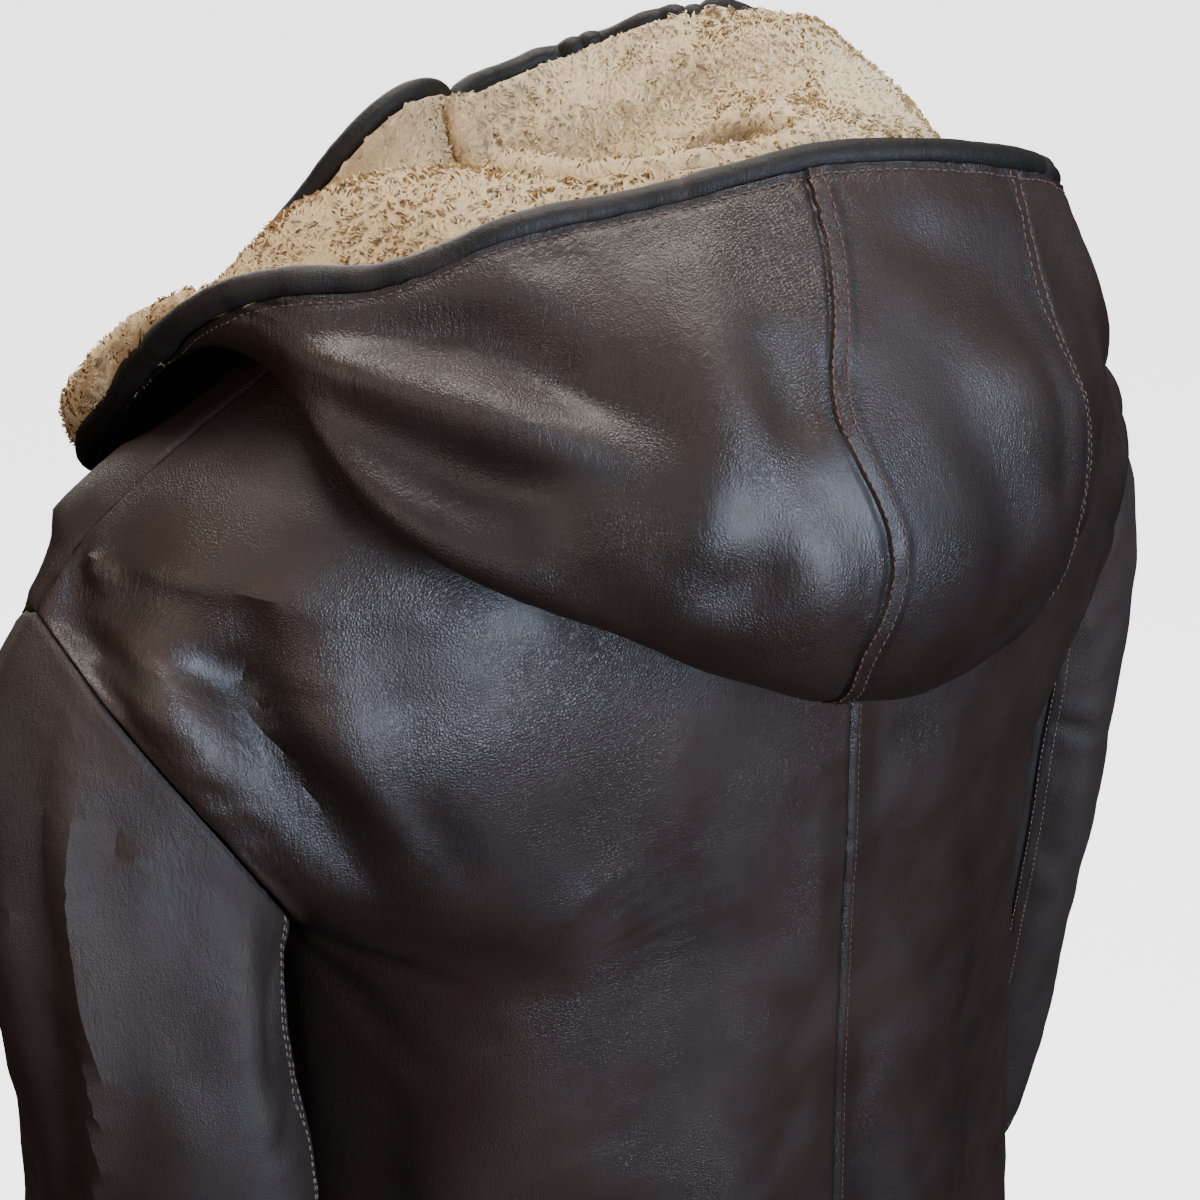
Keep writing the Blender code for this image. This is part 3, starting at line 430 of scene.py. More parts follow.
SLEEVE_CREASES = {
    "left": table(CREASE, """
.42 -.02 .14 1.1 .2 .008 -.006
.28 0 .02 1.1 .2 .01 .005
1.05 .05 1 .75 .02 .01 -.004
.82 .06 .78 .6 .02 .012 .003
.7 .03 .56 .35 -.02 .005 .0026
1.05 .04 .9 .4 .02 .005 .0022
4.2 .06 4.25 .4 .02 .005 .002
1.3 .1 1.1 .55 .02 .006 .0024
.3 .1 .2 .55 .02 .006 -.0018
1.36 .55 1 .72 .02 .006 .002
1.38 1.2 .9 1.32 .04 .007 .0022
1.38 1.42 .8 1.5 -.04 .006 .0016
2.2 .3 2.6 .62 .04 .008 .003
2 .55 2.7 .8 .04 .008 .003
2.9 .8 3.6 .92 .04 .008 .003
2.9 1.05 3.7 1.22 -.04 .007 .0026
1.6 1.1 2.6 1.25 .04 .008 .0026
3 1.5 3.8 1.6 .03 .007 .0018
.45 1 .5 1.9 .03 .014 .0022
"""),
    "right": table(CREASE, """
.6 .05 .4 .45 .02 .005 .0024
.9 .04 .72 .4 -.02 .006 .0026
1.2 .06 1 .52 .02 .006 .0022
4.15 .06 4.22 .36 .02 .005 .002
3.6 .06 3.7 .45 .02 .006 .0022
1.36 .7 .9 .86 .02 .006 .002
1.38 1.12 .8 1.26 .04 .007 .0022
2.2 .34 2.7 .66 .04 .008 .003
2.9 .78 3.6 .9 .04 .008 .003
2.9 1.12 3.7 1.26 -.04 .007 .0026
1.6 1.2 2.6 1.32 .04 .008 .0026
3 1.44 3.8 1.56 .03 .007 .0018
.5 1.05 .4 1.9 .03 .014 .002
"""),
}
HOOD_CREASES = table(CREASE, """
10 .965 49 .84 -1 .013 .0095
6 .88 47 .818 0 .012 -.007
10 .8 44 .76 0 .016 .0035
24 .6 56 .52 3 .007 .003
52 .97 61 .8 -2 .016 -.004
61 .9 67 .82 0 .014 .004
60 .8 66 .66 1 .012 -.003
52 .7 62 .74 0 .01 .0026
80 .95 104 .86 3 .018 .0034
84 .86 108 .78 2 .018 -.003
96 .9 100 .72 2 .007 .0018
120 .84 132 .62 3 .008 .0024
112 .7 120 .56 2 .007 -.002
150 .84 156 .6 3 .008 .0026
-40 .92 -20 .62 3 .01 .0024
-60 .9 -48 .66 2 .008 .002
196 .9 204 .66 3 .008 .0024
232 .9 226 .62 3 .008 .0022
176 .8 190 .72 3 .008 .002
""")

# The photograph's view, in pixels of its 1200 x 1200 frame and metres.
IMAGE_SIZE, FOCAL_PIXELS = 1200, 2080
VIEW_AZIMUTH, VIEW_ELEVATION, VIEW_DISTANCE = 140.8, 26, 0.97
VIEW_TARGET = (0, -0.039, -0.21)
FLOOR, FLOOR_SIZE, FLOOR_GLOW = -1.55, 60.0, 2.8
WORLD_STRENGTH, WORLD_BELOW, WORLD_COLOUR = 0.16, 0.05, (0.95, 0.96, 1.0)
# Name, place, target, power, size and colour of each light.
LIGHTS = (
    ("key", (0.0, 2.5, 0.35), (0, 0, -0.25), 105, (0.8, 2.1), (0.64, 0.78, 1.0)),
    ("side", (-1.7, 1.7, 0.5), (0, 0, -0.25), 5, (0.5, 1.4), (0.76, 0.86, 1.0)),
    ("fill", (2.2, 0.3, 0.5), (0, 0, -0.3), 14, (1.0, 1.4), (1.0, 0.82, 0.66)),
    ("top", (-0.2, -0.5, 2.2), (0, 0, -0.1), 76, (1.4, 1.2), (1.0, 0.95, 0.87)),
    ("front", (-0.8, -2.4, 0.9), (0, 0, -0.3), 45, (1.6, 1.6), (1.0, 0.98, 0.96)),
)


# ---------------------------------------------------------------- arithmetic


def spline(keys, values, at):
    """Natural cubic spline through values (a row for each key), read at any array of places."""
    values = np.asarray(values, float)
    count, step = len(keys), np.diff(keys)
    matrix, right = np.eye(count), np.zeros_like(values)
    for i in range(1, count - 1):
        matrix[i, i - 1 : i + 2] = step[i - 1], 2 * (step[i - 1] + step[i]), step[i]
        right[i] = 6 * ((values[i + 1] - values[i]) / step[i] - (values[i] - values[i - 1]) / step[i - 1])
    bend = np.linalg.solve(matrix, right)
    at = np.clip(at, keys[0], keys[-1])
    i = np.clip(np.searchsorted(keys, at, side="right") - 1, 0, count - 2)
    width = step[i]
    a = (keys[i + 1] - at) / width
    b = 1 - a
    if values.ndim > 1:
        a, b, width = a[..., None], b[..., None], width[..., None]
    curve = ((a**3 - a) * bend[i] + (b**3 - b) * bend[i + 1]) * width**2 / 6
    return a * values[i] + b * values[i + 1] + curve


def read(columns, names, at):
    """The named columns of a table at any places along its first column, one array for each name."""
    keys = next(iter(columns.values()))
    values = np.stack([columns[name] for name in names.split()], -1)
    return np.moveaxis(spline(keys, values, np.asarray(at, float)), -1, 0)


def unit(vectors):
    return vectors / np.maximum(np.linalg.norm(vectors, axis=-1, keepdims=True), 1e-12)


def bell(distance, width):
    return np.exp(-((distance / width) ** 2))


def smooth_step(values, low, high):
    share = np.clip((values - low) / (high - low), 0, 1)
    return share * share * (3 - 2 * share)


def ripples(along, pitch, seed):
    """An uneven wave along a line, from -1 to 1."""
    phase = 2 * pi * along / pitch + 1.6 * np.sin(2 * pi * along / (3.7 * pitch) + seed)
    phase = phase + 1.1 * np.sin(2 * pi * along / (2.3 * pitch) + 2.1 * seed)
    return np.sin(phase) * (0.6 + 0.4 * np.sin(2 * pi * along / (5.3 * pitch) + 3.3 * seed))


def undulation(points, pitch, seed, stretch=(1, 1, 1)):
    """A smooth uneven field over points, from about -1 to 1, made of waves in fixed directions."""
    total = 0
    for number in range(6):
        angle, tilt = seed * 1.7 + number * 2.399, 0.7 * np.sin(seed * 3.1 + number * 1.3)
        heading = np.array([np.cos(angle) * np.cos(tilt), np.sin(angle) * np.cos(tilt), np.sin(tilt)])
        run = (points * stretch) @ heading
        total = total + np.sin(2 * pi * run / (pitch * (0.7 + 0.15 * number)) + number * 1.9 + seed * 5)
    return total / 3


def graded(count, first=True, last=True, width=0.05, density=5.0):
    """Shares from 0 to 1, closer together towards the ends that meet a seam."""
    share = np.linspace(0, 1, 2001)
    crowd = 1 + density * (first * np.exp(-share / width) + last * np.exp(-(1 - share) / width))
    run = np.insert(np.cumsum((crowd[1:] + crowd[:-1]) / 2), 0, 0)
    return np.interp(np.linspace(0, 1, count), run / run[-1], share)


def round_turns(count):
    return np.linspace(0, 2 * pi, count, endpoint=False)


def tree_of(points):
    tree = KDTree(len(points))
    for number, point in enumerate(points):
        tree.insert(Vector(point), number)
    tree.balance()
    return tree


# ---------------------------------------------------------------- the coat's sections


def edge_point(back, level):
    """The outer edge of a back or front panel."""
    point = np.empty(level.shape + (3,))
    armhole = ARMHOLE_BACK if back else ARMHOLE_FRONT
    stretches = ((SHOULDER, 0, ARMHOLE_TOP), (armhole, ARMHOLE_TOP, UNDERARM), (SIDE, UNDERARM, HEM))
    for line, first, last in stretches:
        here = (level >= first) & (level <= last)
        if here.any():
            point[here] = np.stack(read(line, "x y z", level[here]), -1)
    return point


def body_point(back, across, level):
    """A point of the left back or front: across is 0 at the middle line and 1 at the outer edge."""
    across, level = np.broadcast_arrays(across, np.asarray(level, float))
    side = "back" if back else "front"
    middle_y, middle_z, half_width, square = read(CENTRE, f"{side}_y {side}_z half_width square", level)
    edge = edge_point(back, level)
    half_width = np.maximum(half_width, edge[..., 0])
    share = edge[..., 0] / half_width
    depth_at_edge = np.maximum(1 - share**square, 0) ** (1 / square)
    turn = np.arctan2(share, depth_at_edge) * across
    reach = (np.sin(turn) ** square + np.cos(turn) ** square) ** (-1 / square)
    x = half_width * reach * np.sin(turn)
    to_edge = x / edge[..., 0]
    y = middle_y * reach * np.cos(turn) + (edge[..., 1] - middle_y * depth_at_edge) * to_edge**EDGE_PULL
    z = middle_z + (edge[..., 2] - middle_z) * to_edge**2
    return np.stack([x, y, z], -1)


def armhole_level(share):
    """The level on the armhole, from 0 at its top to 1 at the underarm, closer together at both ends."""
    eased = 0.5 * share + 0.25 * (1 - np.cos(share * pi))
    return ARMHOLE_TOP + (UNDERARM - ARMHOLE_TOP) * eased


def hanging_sleeve(turn, depth, forward):
    centre_x, centre_y, outer, inner, half_y = read(SLEEVE, "centre_x centre_y outer inner half_y", depth)
    half_x = np.where(np.cos(turn) > 0, outer, inner)
    x = centre_x + half_x * np.cos(turn)
    y = centre_y - forward + half_y * np.sin(turn)
    return np.stack([x, y, -depth], -1)


def sleeve_point(turns, along, forward=0.0):
    """turns: quarter turns from the outer side; along: 0 at the armhole, 1 where it hangs, 2 at the cuff."""
    turns, along = np.broadcast_arrays(np.asarray(turns, float) % 4, np.asarray(along, float))
    on_back = turns <= 2
    level = armhole_level(np.where(on_back, turns, 4 - turns) / 2)
    start = np.where(on_back[..., None], edge_point(True, level), edge_point(False, level))
    angle = turns * pi / 2
    end = hanging_sleeve(angle, np.full(angle.shape, HEAD_DEPTH), forward)
    top = (1 + np.cos(angle)) / 2
    outwards, down = LEAVING_OUT + LEAVING_OUT_TOP * top**2, LEAVING_DOWN + LEAVING_DOWN_TOP * top
    leaving = unit(np.stack([outwards, LEAVING_BACK * np.sin(angle), down], -1))
    reach = np.linalg.norm(end - start, axis=-1)[..., None]
    leaving = leaving * reach * (LEAVING_REACH + LEAVING_REACH_TOP * top)[..., None]
    arriving = reach * np.array([0, 0, -1.0])
    t = np.clip(along, 0, 1)[..., None]
    head = (2 * t**3 - 3 * t**2 + 1) * start + (t**3 - 2 * t**2 + t) * leaving
    head += (3 * t**2 - 2 * t**3) * end + (t**3 - t**2) * arriving
    depth = HEAD_DEPTH + (CUFF_DEPTH - HEAD_DEPTH) * np.clip(along - 1, 0, 1)
    return np.where((along <= 1)[..., None], head, hanging_sleeve(angle, depth, forward))


def neck_ring(angle):
    """Radius and height of the neck seam at a plan angle in radians."""
    side_x, side_z = SHOULDER["x"][0], SHOULDER["z"][0]
    back = np.sin(angle) >= 0
    middle_y = np.where(back, CENTRE["back_y"][0], -CENTRE["front_y"][0])
    middle_z = np.where(back, CENTRE["back_z"][0], CENTRE["front_z"][0])
    radius = 1 / np.hypot(np.cos(angle) / side_x, np.sin(angle) / middle_y)
    share = radius * np.cos(angle) / side_x
    return radius, middle_z + (side_z - middle_z) * share**2


def hood_point(angle, along):
    """A point of the hood's leather: plan angle in degrees, along 0 at the neck seam and 1 at the edge."""
    angle, along = np.broadcast_arrays(np.asarray(angle, float), np.asarray(along, float))
    neck_r, neck_z = neck_ring(np.radians(angle))
    radii = np.stack([neck_r, *read(HOOD, "under_r fold_r bulge_r edge_r", angle)], -1)
    heights = np.stack([neck_z + SEAM_GAP, *read(HOOD, "under_z fold_z bulge_z edge_z", angle)], -1)
    shares = spline(np.linspace(0, 1, radii.shape[-1]), np.eye(radii.shape[-1]), along)
    radius, height = (radii * shares).sum(-1), (heights * shares).sum(-1)
    x, y = radius * np.cos(np.radians(angle)), radius * np.sin(np.radians(angle))
    return np.stack([x, y, height], -1)


# ---------------------------------------------------------------- grids


def grid_normals(points, flip=False):
    """Unit normals of a grid of points [row, column]."""
    normal = unit(np.cross(np.gradient(points, axis=0), np.gradient(points, axis=1)))
    return -normal if flip else normal


def moved_in(points, depth, flip):
    """A grid moved in along its normals by a depth, with its new normals."""
    moved = points - grid_normals(points, flip) * depth[..., None]
    return moved, grid_normals(moved, flip)


def fold_depth(points, surface, folds):
    """How far each point moves in: every fold fades out across its half width and towards both its ends."""
    total = np.zeros(points.shape[:-1])
    share = np.linspace(0, 1, FOLD_STEPS)
    for a0, b0, a1, b1, half_width, depth in zip(*folds.values()):
        line = surface(a0 + (a1 - a0) * share, b0 + (b1 - b0) * share)
        distance = np.linalg.norm(points[..., None, :] - line, axis=-1)
        nearest = share[distance.argmin(-1)]
        strength = np.sin(pi * np.clip(nearest, FOLD_TIP, 1 - FOLD_TIP)) ** FOLD_FADE
        total += depth * strength * bell(distance.min(-1), half_width)
    return total


def crease_depth(points, surface, creases):
    """Depth of narrow creases, which bend sideways and thin out towards both their ends."""
    total = np.zeros(points.shape[:-1])
    share = np.linspace(0, 1, CREASE_STEPS)
    for a0, b0, a1, b1, bend, half_width, depth in zip(*creases.values()):
        line = surface(a0 + (a1 - a0) * share + bend * np.sin(pi * share), b0 + (b1 - b0) * share)
        reach = 4 * half_width
        near = ((points > line.min(0) - reach) & (points < line.max(0) + reach)).all(-1)
        if not near.any():
            continue
        distance = np.linalg.norm(points[near][:, None] - line, axis=-1)
        along, nearest = share[distance.argmin(-1)], distance.min(-1)
        strength = np.sin(pi * np.clip(along, CREASE_TIP, 1 - CREASE_TIP)) ** CREASE_FADE
        width = half_width * (0.55 + 0.45 * strength)
        profile = bell(nearest, width) - CREASE_WALL * bell(nearest - CREASE_WALL_AT * width, width)
        total[near] += depth * strength * profile
    return total


def lengths(points, axis):
    """Length along a grid's rows or columns from its first point to each one."""
    steps = np.linalg.norm(np.diff(points, axis=axis), axis=-1)
    return np.pad(np.cumsum(steps, axis=axis), [(1, 0) if a == axis else (0, 0) for a in (0, 1)])


def edge_distances(points):
    """How far each point of a grid lies from its first and last row and its first and last column."""
    down, over = lengths(points, 0), lengths(points, 1)
    return {"top": down, "bottom": down[-1:] - down, "first": over, "last": over[:, -1:] - over}


def cell_areas(points):
    """The area of each cell of a grid, doubled."""
    diagonals = np.cross(points[1:, 1:] - points[:-1, :-1], points[1:, :-1] - points[:-1, 1:])
    return np.linalg.norm(diagonals, axis=-1)


def line_on(points, normals, edge, distance):
    """A line on a grid at a distance from one of its edges, with its normals."""
    if edge in ("top", "bottom"):
        points, normals = points.swapaxes(0, 1), normals.swapaxes(0, 1)
    if edge in ("last", "bottom"):
        points, normals = points[:, ::-1], normals[:, ::-1]
    over = lengths(points, 1)
    rows = np.arange(len(points))
    after = np.clip((over < distance).sum(1), 1, points.shape[1] - 1)
    share = (distance - over[rows, after - 1]) / np.maximum(over[rows, after] - over[rows, after - 1], 1e-9)
    share = np.clip(share, 0, 1)[:, None]
    place = points[rows, after - 1] * (1 - share) + points[rows, after] * share
    return place, unit(normals[rows, after - 1] * (1 - share) + normals[rows, after] * share)


def run_along(path):
    """Length along a path up to each of its points."""
    return np.insert(np.cumsum(np.linalg.norm(np.diff(path, axis=0), axis=1)), 0, 0)


def read_along(at, run, values):
    return np.stack([np.interp(at, run, column) for column in values.T], -1)


def even_path(path, step, *others):
    """A path and what goes with it, read again at even steps along it."""
    run = run_along(path)
    at = np.linspace(0, run[-1], max(int(run[-1] / step), 2) + 1)
    return [read_along(at, run, values) for values in (path, *others)]


def smoothed(points, weight, passes):
    """A grid evened out along its rows where the weight says so."""
    for _ in range(passes):
        beside = (points[:, :-2] + points[:, 2:]) / 2
        points[:, 1:-1] += (beside - points[:, 1:-1]) * weight[:, 1:-1, None] / 2
    return points


def puckers(away, along, seed, height, pitch, reach):
    return height * ripples(along, pitch, seed) * np.exp(-away / reach)


def seam_relief(away, along, seed, depth=0.0011, width=0.0016, pucker=0.0004, reach=0.010, pitch=0.013):
    """How far leather sinks beside a plain seam, with its small puckers."""
    return depth * bell(away, width) + puckers(away, along, seed, pucker, pitch, reach)


def on_side(vectors, side):
    """Vectors of the left side as they are, or mirrored to the right one."""
    return vectors * np.array([1 if side == "left" else -1, 1, 1])


# ---------------------------------------------------------------- meshes


def add_mesh(name, verts, faces, materials, masks=None, material_of=None):
    """An object from arrays: faces all have the same number of corners; masks are values by vertex."""
    verts, faces = np.asarray(verts, np.float32), np.asarray(faces, np.int32)
    mesh = bpy.data.meshes.new(name)
    mesh.vertices.add(len(verts))
    mesh.vertices.foreach_set("co", verts.ravel())
    mesh.loops.add(faces.size)
    mesh.loops.foreach_set("vertex_index", faces.ravel())
    mesh.polygons.add(len(faces))
    mesh.polygons.foreach_set("loop_start", np.arange(0, faces.size, faces.shape[1], dtype=np.int32))
    for material in materials:
        mesh.materials.append(material)
    if material_of is not None:
        mesh.polygons.foreach_set("material_index", np.asarray(material_of, np.int32))
    mesh.update(calc_edges=True)
    mesh.shade_smooth()
    for key, values in (masks or {}).items():
        attribute = mesh.attributes.new(key, "FLOAT", "POINT")
        attribute.data.foreach_set("value", np.asarray(values, np.float32).ravel())
    obj = bpy.data.objects.new(name, mesh)
    bpy.context.scene.collection.objects.link(obj)
    return obj


def add_wall(name, outer, inner, normals, materials, masks):
    """A closed wall between two grids, with its first material outside and its last one inside."""
    rows, columns = outer.shape[:2]
    top = np.arange(rows * columns).reshape(rows, columns)
    quads = np.stack([top[:-1, :-1], top[:-1, 1:], top[1:, 1:], top[1:, :-1]], -1).reshape(-1, 4)
    middle = outer.reshape(-1, 3)[quads]
    facing = np.cross(middle[:, 2] - middle[:, 0], middle[:, 3] - middle[:, 1])
    if (facing * normals.reshape(-1, 3)[quads[:, 0]]).sum() < 0:
        quads = quads[:, ::-1]
    inside = quads[:, ::-1] + rows * columns
    edge = np.concatenate([top[0], top[1:, -1], top[-1, -2::-1], top[-2:0:-1, 0]])
    below, after = edge + rows * columns, np.roll(edge, -1)
    below_after = np.roll(below, -1)
    ahead = ((quads == edge[0]) & (np.roll(quads, -1, 1) == after[0])).any()
    rim = np.stack([below, below_after, after, edge] if ahead else [after, below_after, below, edge], -1)
    material_of = np.repeat([0, len(materials) - 1, 0], [len(quads), len(inside), len(rim)])
    verts = np.concatenate([outer.reshape(-1, 3), inner.reshape(-1, 3)])
    doubled = {key: np.concatenate([values.ravel()] * 2) for key, values in masks.items()}
    obj = add_mesh(name, verts, np.concatenate([quads, inside, rim]), materials, doubled, material_of)
    obj.data.set_sharp_from_angle(angle=radians(RIM_ANGLE))
    return obj


def tube_faces(count, corners):
    """The faces between rings of corners, one after the other."""
    number = np.arange(count * corners).reshape(count, corners)
    ahead = np.roll(number, -1, axis=1)
    return np.stack([number[:-1], ahead[:-1], ahead[1:], number[1:]], -1).reshape(-1, 4)


def open_tube(rings):
    return rings.reshape(-1, 3), tube_faces(*rings.shape[:2])


def add_rings(name, rings, materials, masks):
    """A closed tube through rings of points [ring, corner], with flat ends."""
    verts, faces = open_tube(rings)
    number = np.arange(len(verts)).reshape(rings.shape[:2])
    ends = [
        [ring[i], ring[i + 1], ring[-2 - i], ring[-1 - i]][::-turn]
        for ring, turn in ((number[0], 1), (number[-1], -1))
        for i in range(len(ring) // 2 - 1)
    ]
    return add_mesh(name, verts, np.concatenate([faces, ends]), materials, masks)


def around(path, up, corners):
    """Directions round a path [point, corner], the first one to its side."""
    forward = unit(np.gradient(path, axis=0))
    side = unit(np.cross(forward, up))
    up, turn = unit(np.cross(side, forward)), round_turns(corners)
    return side[:, None] * np.cos(turn)[None, :, None] + up[:, None] * np.sin(turn)[None, :, None]


def stitch_row(path, normals, pitch=0.0036, length=0.0027, radius=0.00034, lift=0.00005):
    """Separate thread stitches along a path: verts and faces."""
    run = run_along(path)
    number = np.arange(int(run[-1] / pitch))
    at = (number + 0.5) * pitch + 0.00025 * np.sin(number * 2.4)
    place, ahead = read_along(at, run, path), read_along(at + pitch / 4, run, path)
    up, forward = unit(read_along(at, run, normals)), unit(ahead - place)
    side = unit(np.cross(forward, up))
    rings = []
    for share, size in STITCH_RINGS:
        arch = lift - radius * 0.9 * share**2
        middle = place + forward * share * length / 2 + up * arch
        corners = [side * np.cos(t) + up * np.sin(t) for t in round_turns(STITCH_SIDES)]
        rings.append(np.stack([middle + radius * size * corner for corner in corners], 1))
    one, size = tube_faces(len(STITCH_RINGS), STITCH_SIDES), len(STITCH_RINGS) * STITCH_SIDES
    return np.stack(rings, 1).reshape(-1, 3), (one[None] + number[:, None, None] * size).reshape(-1, 4)


def join(parts):
    """Several (verts, faces) as one."""
    starts = np.cumsum([0] + [len(verts) for verts, _ in parts[:-1]])
    faces = [face + start for (_, face), start in zip(parts, starts)]
    return np.concatenate([verts for verts, _ in parts]), np.concatenate(faces)


def placed(obj):
    """A piece that is fixed to the coat."""
    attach(obj, "root")
    return obj


# ---------------------------------------------------------------- materials


class Look:
    """The nodes of a material or a world. Most methods add one and give its output."""

    def __init__(self, owner, end="Principled BSDF"):
        owner.use_nodes = True
        self.owner, self.nodes, self.links = owner, owner.node_tree.nodes, owner.node_tree.links
        self.end = self.nodes[end]

    def fill(self, node, values):
        """A node with values linked to its inputs, or set on them."""
        for key, value in values.items():
            socket = node.inputs[key]
            if isinstance(value, bpy.types.NodeSocket):
                self.links.new(value, socket)
            elif socket.type == "RGBA" and len(value) == 3:
                socket.default_value = (*value, 1)
            else:
                socket.default_value = value
        return node

    def node(self, kind, values, **options):
        node = self.nodes.new("ShaderNode" + kind)
        for key, value in options.items():
            setattr(node, key, value)
        return self.fill(node, values)

    def finish(self, values):
        self.fill(self.end, values)
        return self.owner

    def mapped(self, stretch=(1, 1, 1)):
        """Object coordinates in metres, stretched along each axis."""
        place = self.node("TexCoord", {}).outputs["Object"]
        return self.node("Mapping", {"Scale": stretch, "Vector": place}).outputs["Vector"]

    def noise(self, scale, detail=3.0, stretch=(1, 1, 1), rough=0.55, twist=0.0):
        values = {"Scale": scale, "Detail": detail, "Roughness": rough, "Distortion": twist}
        return self.node("TexNoise", {**values, "Vector": self.mapped(stretch)}).outputs["Fac"]

    def ramp(self, source, low, high, start=0.0, end=1.0):
        """A value read between two limits as one of two colours, or of two grey levels."""
        node = self.node("ValToRGB", {"Fac": source})
        for element, value, position in zip(node.color_ramp.elements, (low, high), (start, end)):
            element.position = position
            element.color = (*value, 1) if isinstance(value, tuple) else (value, value, value, 1)
        return node.outputs["Color"]

    def maths(self, kind, first, second):
        return self.node("Math", {0: first, 1: second}, operation=kind).outputs["Value"]

    def mixed(self, share, first, second):
        """Two colours mixed by a share: its sockets 6, 7 and 2 are the ones for colour."""
        return self.node("Mix", {0: share, 6: first, 7: second}, data_type="RGBA").outputs[2]

    def mask(self, name):
        return self.node("Attribute", {}, attribute_name=name).outputs["Fac"]

    def bump(self, height, strength, distance, below=None):
        values = {"Distance": distance, "Strength": strength, "Height": height}
        if below is not None:
            values["Normal"] = below
        return self.node("Bump", values).outputs["Normal"]


def new_look(name):
    return Look(bpy.data.materials.new(name))


def leather_material(name, dark, warm, grain=1.0, roughness=0.43, gloss=0.60):
    """Smooth-finished hide: pebbled grain, fine wrinkles where it is pressed, worn raised edges, and painted
    shade in its seams and creases.
    """
    look = new_look(name)
    colour = look.ramp(look.noise(7.0), dark, warm, 0.35, 0.68)
    warp = look.node("TexNoise", {"Scale": 330, "Vector": look.mapped()}).outputs["Color"]
    shift = {0: warp, 1: (0.0011, 0.0011, 0.0011), 2: look.mapped()}
    shifted = look.node("VectorMath", shift, operation="MULTIPLY_ADD").outputs["Vector"]
    cells = look.node("TexVoronoi", {"Scale": 780 / grain, "Vector": shifted}, feature="DISTANCE_TO_EDGE")
    pebbles = look.ramp(cells.outputs["Distance"], 0.0, 1.0, 0.02, 0.30)
    patches = look.ramp(look.noise(22, 2.0), 0.25, 1.0, 0.35, 0.65)
    wrinkle = look.maths("ADD", look.maths("MULTIPLY", look.mask("wrinkle"), 0.42), 0.03)
    level_lines = look.noise(260, 4.0, (0.45, 0.45, 1.6), 0.6, 0.6)
    upright_lines = look.noise(240, 4.0, (1.5, 1.5, 0.35), 0.6, 0.8)
    normal = look.bump(pebbles, look.maths("MULTIPLY", patches, 0.42 * grain), 0.00045)
    normal = look.bump(look.noise(1500, 2.0), 0.10, 0.0003, normal)
    normal = look.bump(level_lines, look.maths("MULTIPLY", patches, 0.10), 0.0011, normal)
    normal = look.bump(upright_lines, wrinkle, 0.0022, normal)
    worn = look.maths("MULTIPLY", look.mask("wear"), look.ramp(look.noise(90), 0.3, 1.0, 0.3, 0.6))
    colour = look.mixed(worn, colour, (0.085, 0.055, 0.044))
    # Painted shade: seams, crease hollows, the foot of the hood's raised bands, its face edge and the rolled
    # strip's joins are darkened towards near black.
    colour = look.mixed(look.mask("painted_shade"), colour, (0.008, 0.005, 0.005))
    uneven = look.ramp(look.noise(34), roughness - 0.05, roughness + 0.09, 0.3, 0.7)
    dulled = look.maths("ADD", uneven, look.maths("MULTIPLY", look.mask("dull"), 0.22))
    shown = {"Base Color": colour, "Normal": normal, "Roughness": dulled, "Specular IOR Level": gloss}
    return look.finish(shown)


def suede_material():
    """The flesh side of the hide, inside the coat."""
    look = new_look("suede")
    colour = look.ramp(look.noise(30), (0.050, 0.032, 0.024), (0.085, 0.057, 0.042), 0.3, 0.7)
    nap = look.bump(look.noise(420, 4.0), 0.5, 0.0006)
    return look.finish({"Base Color": colour, "Normal": nap, "Roughness": 0.92, "Sheen Weight": 0.25})


def fur_material(name, base):
    """Clipped sheepskin pile: cream tips over tan, with painted shade between the locks. tone is 0 tan, 1 cream.
    """
    look = new_look(name)
    colour = look.mixed(look.mask("tone"), FUR_TAN, FUR_CREAM)
    locks = look.noise(300, 4.0, (1, 1, 0.6), 0.65, 0.5)
    # Painted shade: the valleys of the locks' bump are darkened.
    lock_shade = look.maths("MULTIPLY", look.ramp(locks, 1.0, 0.0, 0.34, 0.56), 0.35 if base else 0.12)
    normal = look.bump(locks, 0.6 if base else 0.2, 0.0022)
    shown = {
        "Base Color": look.mixed(lock_shade, colour, FUR_GAP_SHADE),
        "Normal": look.bump(look.noise(1400, 2.0, (1, 1, 0.4)), 0.5, 0.0005, normal),
        "Roughness": 0.95,
        "Specular IOR Level": 0.12,
        "Sheen Weight": 0.20,
        "Sheen Roughness": 0.55,
        "Sheen Tint": (1.0, 0.93, 0.80),
    }
    return look.finish(shown)


def thread_material(name, colour):
    look = new_look(name)
    twist = look.node("TexWave", {"Scale": 900, "Vector": look.mapped()}).outputs["Fac"]
    shade = look.ramp(twist, colour, tuple(min(1, 1.6 * value) for value in colour))
    return look.finish({"Base Color": shade, "Normal": look.bump(twist, 0.4, 0.0002), "Roughness": 0.6})


def horn_material():
    look = new_look("horn_dark")
    veins = look.noise(160, 5.0, (1, 1, 2.5), 0.6, 1.4)
    shade = look.ramp(veins, (0.012, 0.007, 0.005), (0.11, 0.060, 0.032), 0.4, 0.72)
    return look.finish({"Base Color": shade, "Normal": look.bump(veins, 0.08, 0.0003), "Roughness": 0.28})


# ---------------------------------------------------------------- the coat's panels


def body_levels():
    shoulder = np.linspace(0, ARMHOLE_TOP, SHOULDER_ROWS + 1)
    armhole = armhole_level(np.linspace(0, 1, SLEEVE_HALF + 1))
    side = UNDERARM + (HEM - UNDERARM) * graded(SIDE_ROWS + 1, first=False)
    return np.concatenate([shoulder, armhole[1:], side[1:]])


